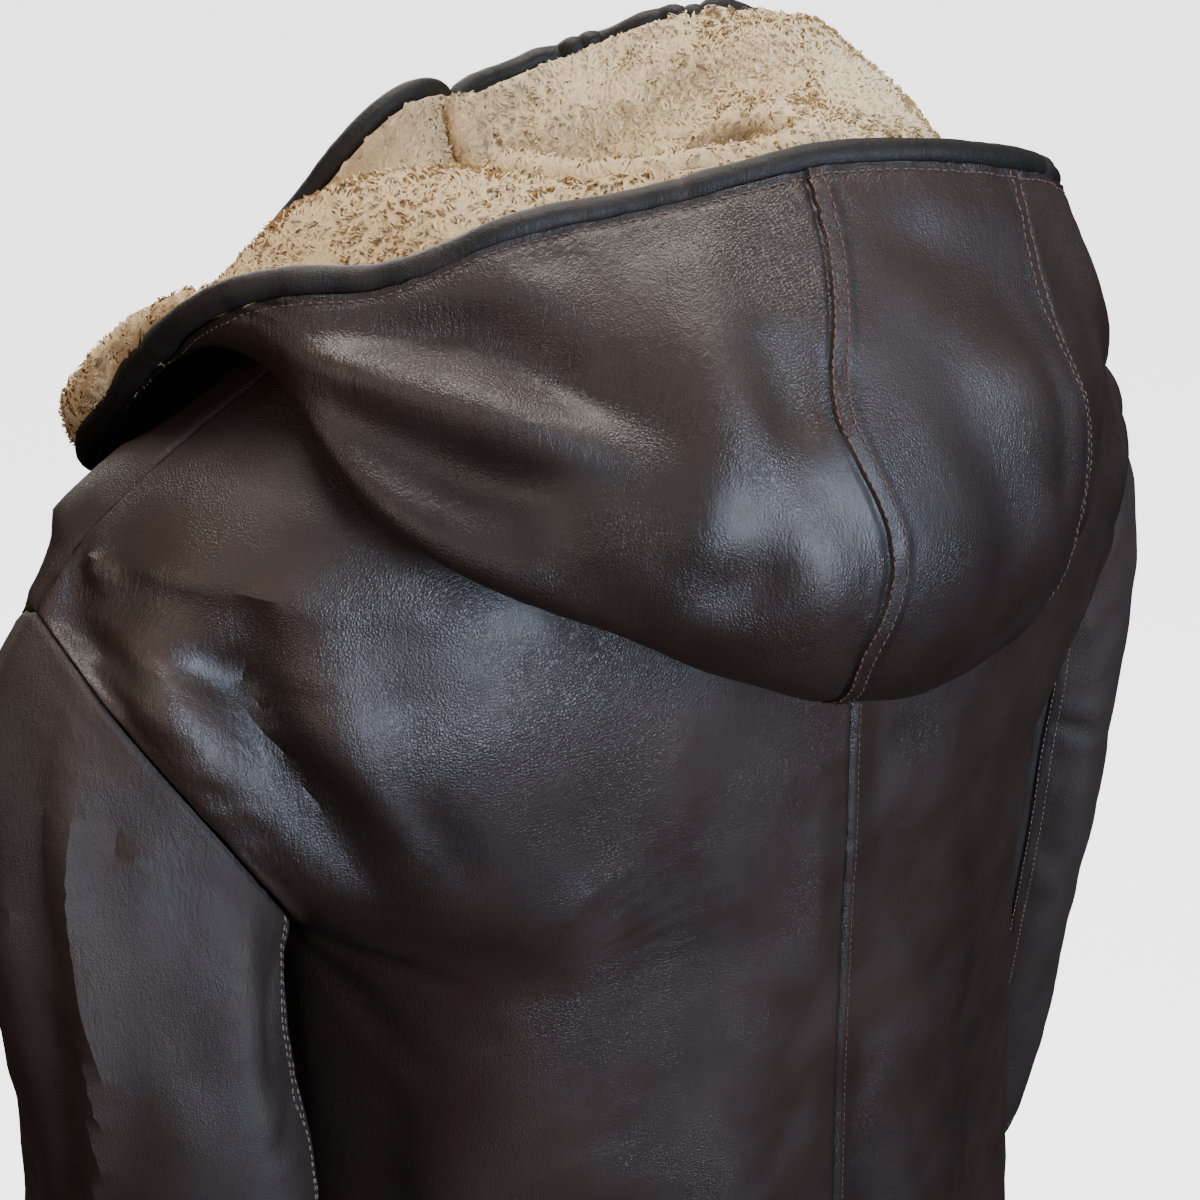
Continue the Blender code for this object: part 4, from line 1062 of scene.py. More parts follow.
def panel_masks(creases, wrinkle, from_seam, from_hem):
    """Where a panel is wrinkled, worn and darkened by painted shade at its seams; wrinkle is what it has apart
    from its creases.
    """
    return {
        "wrinkle": np.clip(wrinkle + WRINKLE_PER_DEPTH * np.abs(creases), 0, 1),
        "wear": np.clip(-creases * WEAR_PER_DEPTH, 0, WEAR_LIMIT) + HEM_WEAR * np.exp(-from_hem / HEM_WEAR_REACH),
        "painted_shade": SEAM_SHADE * bell(from_seam, SHADE_WIDTH),
    }


def panel_grid(back, side):
    """Points, normals and masks of a body panel, worked out on the left and mirrored to its side."""
    seed = 1 + (side == "right") + 2 * (not back)
    levels, across = body_levels()[:, None], graded(PANEL_COLUMNS)[None, :]
    surface = partial(body_point, back)
    points = surface(across, levels)
    inside = smooth_step(across, *UNDERARM_FROM) * (1 - smooth_step(across, *UNDERARM_TO))
    weight = inside * bell(levels - UNDERARM_EASED, UNDERARM_REACH)
    points = smoothed(points.swapaxes(0, 1), weight.T, UNDERARM_PASSES).swapaxes(0, 1)
    away, down, over = edge_distances(points), lengths(points, 0), lengths(points, 1)
    beside = np.minimum(away["first"], away["last"])
    held = smooth_step(beside, 0, BODY_HELD)
    creases = crease_depth(points, surface, BODY_CREASES[back, side]) * smooth_step(beside, 0, CREASE_HELD)
    depth = fold_depth(points, surface, BACK_FOLDS if back else FRONT_FOLDS) * held + creases
    for height, pitch, shift, stretch in BODY_WAVES:
        depth += height * undulation(points, pitch, seed + shift, stretch) * held
    grooves = seam_relief(away["first"], down, seed) + seam_relief(away["last"], down, seed + 1)
    grooves += seam_relief(away["top"], over, seed)
    hem = HEM_DEPTH * bell(away["bottom"] - HEM_STITCH, HEM_WIDTH)
    hem += puckers(away["bottom"], over, seed, *HEM_PUCKERS)
    moved, normals = moved_in(points, depth + grooves + hem, back)
    over_armhole = (levels > ARMHOLE_TOP - 1) & (levels < UNDERARM + 0.5)
    all_over, added, reach = BODY_RUMPLE
    rumpled = all_over + added * (np.exp(-away["last"] / reach) * over_armhole)
    masks = panel_masks(creases, rumpled, np.minimum(beside, away["top"]), away["bottom"])
    # Painted shade in the creases' hollows, added to that at the seams.
    masks["painted_shade"] = np.clip(masks["painted_shade"] + np.clip(creases * CREASE_SHADE_PER_DEPTH, 0, CREASE_SHADE_LIMIT), 0, 1)
    return on_side(moved, side), on_side(normals, side), masks


def sleeve_grid(side, part):
    """Points, normals and masks of one of a sleeve's two panels."""
    seed = 11 + 2 * (side == "right") + (part == "under")
    first, last = SLEEVE_BACK_SEAM, SLEEVE_FRONT_SEAM
    if part == "under":
        turns = first + (last - first) * graded(SLEEVE_UNDER_COLUMNS, width=0.10)
    else:
        turns = last + (4 + first - last) * graded(SLEEVE_UPPER_COLUMNS)
    arm = 1 + graded(SLEEVE_ARM_ROWS, first=False)[1:]
    along = np.concatenate([graded(SLEEVE_HEAD_ROWS, last=False), arm])
    surface = partial(sleeve_point, forward=0.0 if side == "left" else RIGHT_SLEEVE_FORWARD)
    points = surface(turns[None, :], along[:, None])
    away, down, over = edge_distances(points), lengths(points, 0), lengths(points, 1)
    held, beside = smooth_step(away["top"], 0, SLEEVE_HELD), np.minimum(away["first"], away["last"])
    creases = crease_depth(points, surface, SLEEVE_CREASES[side])
    creases = creases * smooth_step(away["top"], 0, CREASE_HELD) * smooth_step(beside, 0, SEAM_HELD)
    depth = fold_depth(points, surface, SLEEVE_FOLDS) * held + creases
    for height, pitch, shift, stretch, full in SLEEVE_WAVES:
        wave = height * undulation(points, pitch, seed + shift, stretch)
        depth += wave * held * smooth_step(beside, 0, full)
    grooves = seam_relief(away["top"], over, seed, **SLEEVE_SEAM)
    for number, edge in enumerate(("first", "last")):
        grooves += seam_relief(away[edge], down, seed + number)
    hem = HEM_DEPTH * bell(away["bottom"] - HEM_STITCH, HEM_WIDTH)
    moved, normals = moved_in(points, depth + grooves + hem, False)
    all_over, added, reach = SLEEVE_RUMPLE
    rumpled = all_over + added * np.exp(-away["top"] / reach)
    masks = panel_masks(creases, rumpled, np.minimum(beside, away["top"]), away["bottom"])
    masks["dull"] = np.ones(depth.shape)
    return on_side(moved, side), on_side(normals, side), masks


def add_cloth(name, grid, materials):
    """A wall of cloth that stands for the solid of the same name."""
    points, normals, masks = grid
    obj = add_wall(name + "_cloth", points, points - normals * LEATHER, normals, materials, masks)
    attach(obj, "root")
    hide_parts(name)


def add_stitches(name, rows, material, **options):
    """One piece of thread from several lines on grids: (grid, edge, distance)."""
    parts = []
    for grid, edge, distance in rows:
        path, up = line_on(*grid[:2], edge, distance)
        path, up = even_path(path, 0.002, up)
        parts.append(stitch_row(path + up * 0.0001, up, **options))
    placed(add_mesh(name, *join(parts), [material]))


# ---------------------------------------------------------------- the hood


def turning(angle):
    """How far a plan angle lies in the places where the hood turns, up to 1."""
    return sum(bell(angle - middle, TURNING_WIDTH) for middle in TURNING_ANGLES)


def hood_end(along, sign, distance):
    """Plan angles at which each section passes a distance from the middle of the front."""
    middle = HOOD_START if sign > 0 else HOOD_END
    radius = np.linalg.norm(hood_point(middle, along)[..., :2], axis=-1)
    return middle + sign * np.degrees(np.arcsin(distance / radius))


def even_shares(first, last, at):
    """Shares of the way between two plan angles, part by angle and part by length along the face edge."""
    share = np.linspace(0, 1, FOLD_STEPS * 4)
    angle = first + (last - first) * share
    run = run_along(hood_point(angle, 1.0))
    density = np.insert(np.cumsum(1 + TURNING_DENSITY * turning(angle[1:])), 0, 0)
    return np.interp(at, (run / run[-1] + density / density[-1]) / 2, share)


class Coat:
    """The coat's outer points with their normals, to keep the hood off them."""

    def __init__(self, grids):
        self.points = np.concatenate([grid[0].reshape(-1, 3) for grid in grids])
        self.normals = np.concatenate([grid[1].reshape(-1, 3) for grid in grids])
        self.tree = tree_of(self.points)

    def lifted(self, points, along):
        """Hood points moved out wherever they would come nearer to the coat than the hood lies."""
        found = [self.tree.find(Vector(point)) for point in points.reshape(-1, 3)]
        number = np.array([hit[1] for hit in found])
        distance = np.array([hit[2] for hit in found]).reshape(points.shape[:-1])
        normals = self.normals[number].reshape(points.shape)
        height = ((points - self.points[number].reshape(points.shape)) * normals).sum(-1)
        wanted = HOOD_CLEARANCE * np.clip(along / CLEAR_FROM, 0, 1)
        at_edge = np.clip((along - EDGE_FROM) / (1 - EDGE_FROM), 0, 1)
        wanted = wanted + (HOOD_EDGE_CLEARANCE - HOOD_CLEARANCE) * at_edge
        missing = np.where(distance < COAT_REACH, np.maximum(wanted - height, 0), 0)
        return points + normals * missing[..., None]


def hood_grid(coat):
    """The whole hood's leather as one grid, the columns of each panel, and each point's place on it."""
    along = HOOD_EDGE * graded(HOOD_ROWS, first=False, width=0.03, density=3)
    left, right = read(HOOD_SEAMS, "left right", along)
    start, end = hood_end(along, 1, HOOD_END_X), hood_end(along, -1, HOOD_END_X)
    panels = (
        ("side_left", start, left, graded(HOOD_SIDE_COLUMNS, first=False, width=0.02, density=4)),
        ("centre", left, right, graded(HOOD_CENTRE_COLUMNS, width=0.12, density=3)),
        ("side_right", right, end, graded(HOOD_SIDE_COLUMNS, last=False, width=0.02, density=4)),
    )
    angles, columns_of = [start[:, None]], {}
    for name, first, last, at in panels:
        begins = sum(part.shape[1] for part in angles) - 1
        shares = even_shares(first[-1], last[-1], at)
        angles.append(first[:, None] + (last - first)[:, None] * shares[None, 1:])
        columns_of[name] = slice(begins, begins + len(at))
    angles, along = np.concatenate(angles, axis=1), along[:, None]
    points = hood_point(angles, along)
    points, _ = moved_in(points, fold_depth(points, hood_point, HOOD_FOLDS), True)
    turns = turning(angles)
    points = coat.lifted(smoothed(coat.lifted(points, along), turns, TURNING_PASSES), along)
    return points, angles, np.broadcast_to(along, angles.shape), turns, columns_of


def hood_relief(points, columns_of):
    """How far the hood's leather moves in at its creases and seams, and its masks."""
    rim = edge_distances(points)["bottom"]
    creases = crease_depth(points, hood_point, HOOD_CREASES) * smooth_step(rim, *HOOD_HELD)
    depth = creases
    for height, pitch, seed, stretch in HOOD_WAVES:
        depth = depth + height * undulation(points, pitch, seed, stretch)
    # The seams, the foot of the centre strip's raised bands and the face edge are darkened: painted shade.
    seams, painted_shade = np.zeros_like(depth), np.zeros_like(depth)
    wear = np.clip(-creases * WEAR_PER_DEPTH, 0, WEAR_LIMIT)
    for name, columns in columns_of.items():
        part = points[:, columns]
        away, down = edge_distances(part), lengths(part, 0)
        if name == "centre":
            for edge, seed, raised in HOOD_BANDS:
                from_edge, (height, pitch, width) = away[edge], BAND_PUCKERS
                band = 1 - smooth_step(from_edge, HOOD_BAND - HOOD_BAND_EASE, HOOD_BAND + HOOD_BAND_EASE)
                seams[:, columns] -= HOOD_BAND_HEIGHT * raised * band
                uneven = height * raised * ripples(down, pitch, seed)
                seams[:, columns] += uneven * bell(from_edge - HOOD_BAND / 2, width)
                wear[:, columns] += BAND_WEAR * raised * np.exp(-from_edge / BAND_WEAR_REACH)
                painted_shade[:, columns] += BAND_SHADE * bell(from_edge - HOOD_BAND - HOOD_BAND_EASE, SHADE_WIDTH)
        else:
            from_edge = away["last" if name == "side_left" else "first"]
            seams[:, columns] += seam_relief(from_edge, down, HOOD_SEAM_SEED, **HOOD_SEAM)
            painted_shade[:, columns] += HOOD_SEAM_SHADE * bell(from_edge, HOOD_SEAM_SHADE_WIDTH)
    seams += RIM_DEPTH * bell(rim - HOOD_EDGE_STITCH, RIM_WIDTH)
    seams += puckers(rim, lengths(points, 1), RIM_SEED, *RIM_PUCKERS)
    painted_shade += RIM_SHADE * bell(rim, RIM_SHADE_WIDTH)
    all_over, added, reach = HOOD_RUMPLE
    wrinkle = all_over + WRINKLE_PER_DEPTH * np.abs(creases) + added * np.exp(-rim / reach)
    masks = {"wrinkle": wrinkle, "wear": wear, "painted_shade": painted_shade}
    return depth, seams, {name: np.clip(values, 0, 1) for name, values in masks.items()}


def rim_path(outer, inner):
    """The middle of the rolled edge, round the hood's face and down both its ends at the front."""

    def round_edge(points):
        edge = np.concatenate([points[3:-1, 0], points[-1], points[-2:2:-1, -1]])
        return edge, np.concatenate([points[3:-1, 2], points[-3], points[-2:2:-1, -3]])

    (outer_edge, outer_in), (inner_edge, inner_in) = round_edge(outer), round_edge(inner)
    middle = (outer_edge + inner_edge) / 2
    away = unit(middle - (outer_in + inner_in) / 2)
    ahead = np.abs(((outer_edge - middle) * away).sum(-1, keepdims=True))
    path = middle + away * (BINDING_RADIUS * BINDING_OUT + np.minimum(ahead, 0.003))
    path, face = even_path(path, RIM_STEP, unit(outer_edge - inner_edge))
    forward = unit(np.gradient(path, axis=0))
    corner = np.pad((forward[6:] * forward[:-6]).sum(-1), 3, constant_values=1) < 0.5
    ease = np.where(corner, CORNER_EASE, RIM_EASE)[1:-1, None]
    for _ in range(RIM_PASSES):
        for values in (path, face):
            values[1:-1] += ((values[:-2] + values[2:]) / 2 - values[1:-1]) * ease
    return path, unit(face)


def add_binding(path, face, materials):
    """The rolled strip: a tube with uneven fullness, pressed folds across it, and its overlapping joins."""
    run, turn = run_along(path), round_turns(BINDING_SIDES)
    fullness, joined = 1, np.zeros_like(run)
    for height, pitch, seed in BINDING_WAVES:
        fullness = fullness + height * ripples(run, pitch, seed)
    radius = BINDING_RADIUS * fullness
    for share in BINDING_JOINS:
        beside = run - share * run[-1]
        joined += bell(beside, JOIN_WIDTH)
        radius = radius * (1 + JOIN_BULGE * bell(beside - JOIN_BULGE_AT, JOIN_BULGE_WIDTH))
    radius = radius * (1 - 0.10 * joined)
    wobble = 1 + 0.020 * np.sin(3 * turn[None, :] + 40 * run[:, None]) * np.sin(91 * run[:, None])
    rings = path[:, None] + (radius[:, None] * wobble)[..., None] * around(path, face, BINDING_SIDES)
    rubbed = 0.25 * np.abs(ripples(run, 0.07, 43))[:, None] * (np.sin(turn)[None, :] > 0.2)
    masks = {
        "wrinkle": np.full(rings.shape[:2], 0.45),
        "wear": np.clip(rubbed + 0.7 * joined[:, None], 0, 1),
        # The pinched joins are darkened: painted shade.
        "painted_shade": np.clip(0.5 * joined, 0, 1)[:, None] * np.ones(BINDING_SIDES),
    }
    return add_rings("hood_edge_roll", rings, materials, masks)


# ---------------------------------------------------------------- the fur


def lining_grid(points, along, turns):
    """The fur's base under the leather: its outer side, its pile side and the pile's normals."""
    normals = grid_normals(points, flip=True)
    for _ in range(12):
        middle = normals[1:-1, 1:-1] * 2 + normals[:-2, 1:-1] + normals[2:, 1:-1]
        normals[1:-1, 1:-1] = unit(middle + normals[1:-1, :-2] + normals[1:-1, 2:])
    thickness = spline(FUR["along"], FUR["thickness"], along)
    thickness = thickness * (1 - TURNING_PRESS * turns * np.sin(pi * along))
    backing = points - normals * (LEATHER + LINING_GAP)
    locks = sum(height * undulation(points, pitch, seed) for height, pitch, seed in LOCK_WAVES)
    height = thickness * PILE_SHARE + locks * np.clip(thickness / FULL_FUR, 0, 1)
    pile = backing - normals * height[..., None]
    return backing, pile, -normals


def fur_tone(points):
    """Colour of the pile, from 0 tan to 1 cream, in broad soft areas; its slope along X and its darker patch are
    partly painted shade.
    """
    tone = TONE - TONE_AND_SHADE_SLOPE * points[..., 0]
    for height, pitch, seed in TONE_WAVES:
        tone = tone + height * undulation(points, pitch, seed)
    stain_and_shade = bell(np.linalg.norm(points - FUR_STAIN_AND_SHADE, axis=-1), STAIN_AND_SHADE_WIDTH)
    return np.clip(tone - STAIN_AND_SHADE_DEPTH * stain_and_shade, 0, 1)


def seen_fur(angles, along):
    """Share of the pile that is made in full at each place: the folded bag hides the rest."""
    first, last = SEEN_ANGLES
    open_part = np.clip(np.maximum(first - angles, angles - last) / SEEN_FADE, 0, 1)
    at_ends = np.maximum(1 - smooth_step(along, *SEEN_AT_NECK), smooth_step(along, *SEEN_AT_EDGE))
    return np.maximum(open_part, at_ends)


def add_pile(name, pile, out, share, count, seed, material):
    """Locks of fur on a grid: narrow curved strips that lean together at their tips."""
    random = np.random.default_rng(seed)
    total = np.cumsum((cell_areas(pile) * share[:-1, :-1]).ravel())
    picks = (np.arange(count) + random.random(count)) / count * total[-1]
    cell = np.searchsorted(total, picks).clip(0, total.size - 1)
    row, column = np.divmod(cell, pile.shape[1] - 1)
    down, over = random.random((2, count, 1))

    def between(values):
        first = values[row, column] * (1 - over) + values[row, column + 1] * over
        second = values[row + 1, column] * (1 - over) + values[row + 1, column + 1] * over
        return first * (1 - down) + second * down

    root, normal = between(pile), unit(between(out))
    centres = root[random.permutation(count)[: count // TUFTS_PER_LOCK]]
    tree = tree_of(centres)
    pull = centres[[tree.find(Vector(point))[1] for point in root]] - root
    pull -= normal * (pull * normal).sum(-1, keepdims=True)
    comb = unit(np.cross(normal, (0.3, 0.2, 1.0)))
    crossing = np.cross(normal, comb) * undulation(root, 0.06, seed + 1)[:, None]
    comb = comb * undulation(root, 0.05, seed)[:, None] + crossing
    stray = random.normal(size=(count, 3)) * TUFT_STRAY
    lean = unit(comb + stray) * (0.55 + 0.3 * random.random((count, 1)))
    uneven = 0.80 + 0.3 * random.random((count, 1)) + 0.25 * undulation(root, 0.007, seed)[:, None]
    height = TUFT_HEIGHT * uneven
    curl = random.normal(size=(count, 1)) * TUFT_CURL
    side = unit(np.cross(normal, unit(lean + random.normal(size=(count, 3)) * 0.5)))
    low = root - normal * TUFT_ROOT - lean * height * 0.3
    middle, tip = (
        root + normal * height * rise + pull * drawn + lean * height * leaning + side * curl * way
        for rise, drawn, leaning, way in TUFT_BENDS
    )
    side = side * np.sign((np.cross(side, tip - low) * normal).sum(-1, keepdims=True))
    width = TUFT_WIDTH * (0.7 + 0.6 * random.random((count, 1)))
    corners = [
        place + way * side * width / part for place, part in ((low, 2), (middle, 2), (tip, 6)) for way in (-1, 1)
    ]
    one = np.array([[0, 1, 3, 2], [2, 3, 5, 4]])
    faces = (one[None] + 6 * np.arange(count)[:, None, None]).reshape(-1, 4)
    tone = fur_tone(root)[:, None] + random.normal(size=(count, 1)) * TONE_SPREAD
    tone = np.clip(tone + np.array(TUFT_TONES), 0, 1)
    obj = add_mesh(name, np.stack(corners, 1).reshape(-1, 3), faces, [material], {"tone": tone})
    bend = unit(np.cross(side, tip - low))
    shade = unit(normal[:, None] + 0.35 * bend[:, None] + stray[:, None] * 0.7 + pull[:, None] * 120)
    obj.data.normals_split_custom_set_from_vertices((shade * np.ones((1, 6, 1))).reshape(-1, 3))
    placed(obj)


def add_fleece_roll(name, path, up, radius, seed, furs, kind):
    """A long swelling of fleece along a path, with its pile."""
    outwards = around(path, up, ROLL_SIDES)
    rings = path[:, None] + radius[:, None, None] * outwards
    roll = add_rings(name + "_fleece", rings, furs[:1], {"tone": BASE_TONE * fur_tone(rings)})
    placed(roll)
    closed = [np.concatenate([values, values[:, :1]], axis=1) for values in (rings, outwards)]
    add_pile(name + "_pile", *closed, np.ones(closed[0].shape[:2]), TUFTS[kind], seed, furs[1])


def add_end_roll(side, line, out, along, furs):
    """The fleece that swells over one of the hood's ends, so that the two ends meet in front of the neck."""
    sign = 1 if side == "left" else -1
    path = line + out * END_ROLL_RADIUS * 0.75
    path[:, 0] = sign * END_ROLL_X
    path, up = even_path(path[along > 0.03], ROLL_STEP, out[along > 0.03])
    run = np.linspace(0, 1, len(path))
    radius = END_ROLL_RADIUS * (0.9 + 0.12 * np.sin(40 * run + sign) * np.sin(17 * run))
    radius *= np.minimum(1, 0.35 + 0.65 * np.sin(pi * np.clip(1 - run, 0, 1 / 14) * 7))
    add_fleece_roll(f"lining_end_{side}", path, up, radius, 5 + sign, furs, "end")


def add_flap_roll(pile, out, angles, furs):
    """The fleece that swells over the face edge where the hood's left side lies open on the shoulder."""
    row = len(pile) - FLAP_ROLL_ROWS_IN
    picked = (angles[row] > FLAP_ROLL_ANGLES[0]) & (angles[row] < FLAP_ROLL_ANGLES[1])
    path = pile[row, picked] + out[row, picked] * FLAP_ROLL_RADIUS * 0.45
    path, up = even_path(path, ROLL_STEP, out[row, picked])
    run = np.linspace(0, 1, len(path))
    radius = FLAP_ROLL_RADIUS * (0.25 + 0.75 * np.sin(pi * run) ** 0.6) * (1 + 0.05 * np.sin(37 * run))
    add_fleece_roll("lining_flap", path, up, radius, 12, furs, "flap")


def add_neck_band(furs):
    """The fleece that goes on below the neck seam, inside the coat."""
    across = np.linspace(0, 1, NECK_BAND_COLUMNS)
    levels = np.linspace(0.02, NECK_BAND_DEPTH, NECK_BAND_ROWS)[:, None]
    points, normals = [], []
    for back, side, order in ((True, "left", 1), (False, "left", -1), (False, "right", 1), (True, "right", -1)):
        quarter = body_point(back, across[None, :], levels)
        first = 1 if points else 0
        points.append(on_side(quarter, side)[:, ::order][:, first:])
        normals.append(on_side(grid_normals(quarter, flip=back), side)[:, ::order][:, first:])
    points, normals = np.concatenate(points, axis=1), np.concatenate(normals, axis=1)
    for _ in range(6):
        beside = np.roll(normals[:, :-1], 1, axis=1) + np.roll(normals[:, :-1], -1, axis=1)
        normals[:, :-1] = unit(normals[:, :-1] * 2 + beside)
        normals[:, -1] = normals[:, 0]
    backing = points - normals * (LEATHER + NECK_BAND_GAP)
    pile = backing - normals * NECK_BAND_FUR
    tone = BASE_TONE * fur_tone(pile)
    band = add_wall("neck_band_fleece", pile, backing, -normals, furs[:1], {"tone": tone})
    placed(band)
    add_pile("neck_band_pile", pile, -normals, np.ones(pile.shape[:2]), TUFTS["neck"], 8, furs[1])


def add_neck_roll(furs):
    """The fleece that swells over the neck seam, all the way round inside it."""
    angle = np.linspace(0, 2 * pi, NECK_ROLL_STEPS)
    radius, height = neck_ring(angle)
    radius = radius - NECK_ROLL_IN
    path = np.stack([radius * np.cos(angle), radius * np.sin(angle), height + NECK_ROLL_UP], -1)
    fullness = NECK_ROLL_RADIUS * (1 + 0.06 * np.sin(9 * angle + 1) * np.sin(4 * angle))
    add_fleece_roll("neck_roll", path, np.array([0.0, 0.0, 1.0]), fullness, 9, furs, "neck_roll")


# ---------------------------------------------------------------- the front's strip and buttons


def placket_grid():
    """The strip that covers the front opening, from the left panel's points moved out."""
    levels = body_levels()
    levels = np.concatenate([[PLACKET_TOP_LEVEL], levels[levels > PLACKET_TOP_LEVEL]])
    across = (graded(PLACKET_COLUMNS, width=0.10) * 2 - 1) * PLACKET_WIDTH / 2
    share = across[None, :] / edge_point(False, levels)[:, :1]
    points = body_point(False, np.abs(share) * PLACKET_REACH, levels[:, None])
    points[..., 0] = across
    away = edge_distances(points)
    beside = np.minimum(away["first"], away["last"])
    depth = PLACKET_DEPTH * bell(beside - EDGE_STITCH, PLACKET_GROOVE)
    depth -= PLACKET_WAVE * (1 + undulation(points, PLACKET_PITCH, PLACKET_SEED))
    for level in BUTTON_LEVELS:
        height = np.interp(level, levels, points[:, PLACKET_COLUMNS // 2, 2])
        depth += BUTTON_PRESS * bell(points[..., 2] - height, BUTTON_REACH)
    points = points + grid_normals(points) * (PLACKET_LIFT + LEATHER - depth[..., None])
    wear, wrinkle = PLACKET_WEAR * np.exp(-beside / PLACKET_WEAR_REACH), np.full(depth.shape, PLACKET_WRINKLE)
    masks = {"wrinkle": wrinkle, "wear": wear, "painted_shade": np.zeros(depth.shape)}
    return (points, grid_normals(points), masks), levels


def lathe(profile, sides):
    """Rings of points round Z from a profile."""
    turn = round_turns(sides)
    rim = np.stack([np.cos(turn), np.sin(turn), np.zeros(sides)], -1)
    return np.stack([rim * radius + (0, 0, height) for radius, height in zip(*profile.values())])


def add_button(name, place, normal, horn, thread):
    """A four-hole button with a raised rim, sewn on with two crossed pairs of threads."""
    side = unit(np.cross((0, 0, 1), normal))
    axes = np.stack([side, np.cross(normal, side), normal])
    verts, faces = open_tube(lathe(BUTTON_PROFILE, BUTTON_SIDES))
    obj = add_mesh(name + "_horn", verts @ axes + place, faces, [horn])
    obj.data.set_sharp_from_angle(angle=radians(BUTTON_ANGLE))
    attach(obj, "root")
    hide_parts(name)
    eyes, threads = [], []
    for corner in range(4):
        turned = pi / 4 + corner * pi / 2
        middle = np.array([np.cos(turned), np.sin(turned), 0]) * HOLE_OUT
        verts, faces = open_tube(lathe(HOLE_PROFILE, HOLE_SIDES) + middle)
        eyes.append((verts @ axes + place, faces))
    placed(add_mesh(name + "_eyes", *join(eyes), [horn]))
    across = np.linspace(-HOLE_OUT, HOLE_OUT, 12)
    arch = THREAD_HEIGHT + 0.0004 * np.cos(across / HOLE_OUT * pi / 2)
    for turned in (pi / 4, 3 * pi / 4):
        c, s = np.cos(turned), np.sin(turned)
        for shift in (-THREAD_APART, THREAD_APART):
            line = np.stack([across * c - shift * s, across * s + shift * c, arch], -1)
            line[[0, -1], 2] -= THREAD_DIP
            path = line @ axes + place
            threads.append(open_tube(path[:, None] + THREAD_RADIUS * around(path, normal, THREAD_SIDES)))
    placed(add_mesh(name + "_thread", *join(threads), [thread]))


# ---------------------------------------------------------------- the scene


def build_coat(leather, suede, thread, pale_thread, horn):
    """The body, the sleeves, the front's strip and its buttons; returns the grids that the hood lies on."""
    grids, hems, cuffs = {}, [], []
    for side in ("left", "right"):
        for back in (True, False):
            name = ("back_" if back else "front_") + side
            grids[name] = panel_grid(back, side)
            hems.append((grids[name], "bottom", HEM_STITCH))
        for part in ("upper", "under"):
            name = f"sleeve_{side}_{part}"
            grids[name] = sleeve_grid(side, part)
            cuffs.append((grids[name], "bottom", HEM_STITCH))
    for name, grid in grids.items():
        add_cloth(name, grid, [leather, suede])
    strip, levels = placket_grid()
    add_cloth("front_placket", strip, [leather, suede])
    middle = PLACKET_COLUMNS // 2
    for number, level in enumerate(BUTTON_LEVELS, 1):
        place, normal = (read_along(level, levels, values[:, middle]) for values in strip[:2])
        add_button(f"button_{number}", place, unit(normal * (0, 1, 1)), horn, thread)
    edges = [(strip, edge, EDGE_STITCH) for edge in ("first", "last")]
    uppers = [grids["sleeve_left_upper"], grids["sleeve_right_upper"]]
    doubles = [(grid, "last", distance) for grid in uppers for distance in SLEEVE_STITCHES]
    add_stitches("stitches_hem", hems + edges, thread)
    add_stitches("stitches_back_seam", [(grids["back_right"], "first", BACK_SEAM_STITCH)], thread)
    add_stitches("stitches_sleeve_seams", doubles, pale_thread, radius=0.00040)
    add_stitches("stitches_cuffs", cuffs, thread)
    return grids


def build_hood(grids, leather, suede, edging, thread, furs):
    """The hood's panels, their fur, the rolled edge and the stitches."""
    points, angles, along, turns, columns_of = hood_grid(Coat(list(grids.values())))
    depth, seams, masks = hood_relief(points, columns_of)
    shaped, _ = moved_in(points, depth, True)
    face, normals = moved_in(shaped, seams, True)
    under, _ = moved_in(points, depth + LINING_SINK * np.maximum(depth, 0), True)
    backing, pile, out = lining_grid(under, along, turns)
    seen, last_row = seen_fur(angles, along), len(points) - 1
    down = np.append(np.arange(0, last_row, LINING_STEP), last_row)
    for name, columns in columns_of.items():
        part = {key: values[:, columns] for key, values in masks.items()}
        grid = (face[:, columns], normals[:, columns], part)
        add_cloth("hood_" + name, grid, [leather, suede])
        ends = columns.stop - 1
        picked = np.ix_(down, np.append(np.arange(columns.start, ends, LINING_STEP), ends))
        base = pile[picked]
        # Where the folded bag hides the pile its base is darkened: painted shade.
        tone = BASE_TONE * fur_tone(base) * (HIDDEN_SHADE_TONE + (1 - HIDDEN_SHADE_TONE) * seen[picked])
        lining = add_wall(f"lining_{name}_fleece", base, backing[picked], out[picked], furs[:1], {"tone": tone})
        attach(lining, "root")
        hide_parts("lining_" + name)
        grids_of_pile = pile[:, columns], out[:, columns], seen[:, columns]
        add_pile(f"lining_{name}_pile", *grids_of_pile, TUFTS[name], len(name), furs[1])
    for column, side in ((0, "left"), (-1, "right")):
        add_end_roll(side, pile[:, column], out[:, column], along[:, column], furs)
    add_flap_roll(pile, out, angles, furs)
    add_neck_band(furs)
    add_neck_roll(furs)
    path, edge_face = rim_path(face, pile)
    roll = add_binding(path, edge_face, [edging])
    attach(roll, "root")
    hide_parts("hood_binding")
    whole, strip = (face, normals), columns_of["centre"]
    centre = (face[:, strip], normals[:, strip])
    bands = [(centre, edge, distance) for edge in ("first", "last") for distance in HOOD_BAND_STITCHES]
    add_stitches("stitches_hood_seams", bands, thread, radius=0.00042, lift=0.00015)
    rounds = [(whole, edge, HOOD_EDGE_STITCH) for edge in ("bottom", "first", "last")]
    add_stitches("stitches_hood_edge", rounds, thread)


def add_light(name, place, target, energy, size, colour):
    light = bpy.data.lights.new(name, "AREA")
    light.energy, light.color, light.shape = energy, colour, "RECTANGLE"
    light.size, light.size_y = size
    obj = bpy.data.objects.new(name, light)
    obj.location = place
    obj.rotation_euler = (Vector(place) - Vector(target)).to_track_quat("Z", "Y").to_euler()
    bpy.context.scene.collection.objects.link(obj)


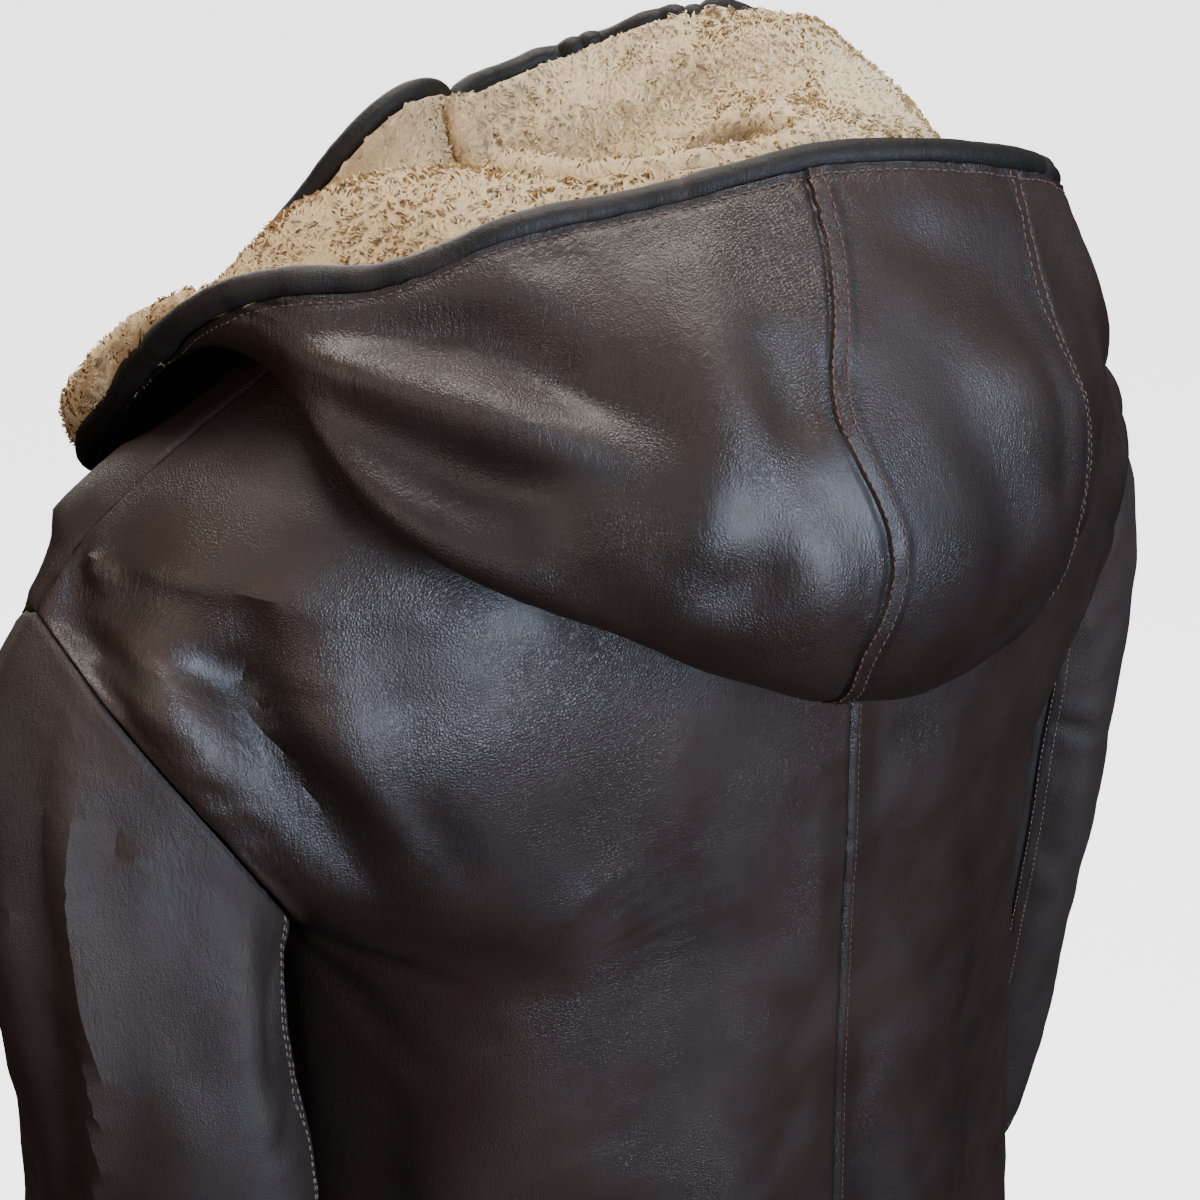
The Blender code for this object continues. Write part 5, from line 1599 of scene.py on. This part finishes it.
def add_stage():
    """The plain pale floor, the studio's lights and the camera."""
    look = new_look("studio_floor")
    shade = look.ramp(look.noise(1.2, 2.0), (0.86, 0.86, 0.86), (0.90, 0.90, 0.90))
    glow = {"Emission Strength": FLOOR_GLOW, "Emission Color": (1, 1, 1)}
    pale = look.finish({"Base Color": shade, "Roughness": 0.9, **glow})
    corners = [(x * FLOOR_SIZE, y * FLOOR_SIZE, FLOOR) for x, y in ((-1, -1), (1, -1), (1, 1), (-1, 1))]
    floor = add_mesh("studio_floor", corners, [[0, 1, 2, 3]], [pale])
    floor.visible_glossy = floor.visible_diffuse = False
    sky = Look(bpy.data.worlds.new("studio"), "Background")
    heading = sky.node("TexCoord", {}).outputs["Generated"]
    height = sky.node("SeparateXYZ", {"Vector": heading}).outputs["Z"]
    below = tuple(WORLD_BELOW * value for value in WORLD_COLOUR)
    colour = sky.ramp(sky.maths("ADD", height, 0.5), below, WORLD_COLOUR, 0.47, 0.50)
    bpy.context.scene.world = sky.finish({"Color": colour, "Strength": WORLD_STRENGTH})
    for row in LIGHTS:
        add_light(*row)
    camera = bpy.data.cameras.new("photo_camera")
    camera.lens = FOCAL_PIXELS * camera.sensor_width / IMAGE_SIZE
    camera.clip_start = 0.05
    obj = bpy.data.objects.new("photo_camera", camera)
    azimuth, elevation = radians(VIEW_AZIMUTH), radians(VIEW_ELEVATION)
    level = np.cos(elevation)
    back = Vector((np.sin(azimuth) * level, -np.cos(azimuth) * level, np.sin(elevation)))
    obj.location = Vector(VIEW_TARGET) + back * VIEW_DISTANCE
    obj.rotation_euler = back.to_track_quat("Z", "Y").to_euler()
    bpy.context.scene.collection.objects.link(obj)
    bpy.context.scene.camera = obj


leather = leather_material("leather_smooth", (0.0185, 0.0092, 0.0072), (0.036, 0.0182, 0.0128))
edging = leather_material("leather_edge", (0.006, 0.0048, 0.0045), (0.011, 0.008, 0.0072), 0.8, 0.52, 0.35)
suede = suede_material()
furs = [fur_material("fleece", True), fur_material("fleece_pile", False)]
thread = thread_material("thread", (0.11, 0.060, 0.044))
pale_thread = thread_material("thread_pale", (0.17, 0.115, 0.085))
horn = horn_material()

grids = build_coat(leather, suede, thread, pale_thread, horn)
build_hood(grids, leather, suede, edging, thread, furs)
add_stage()
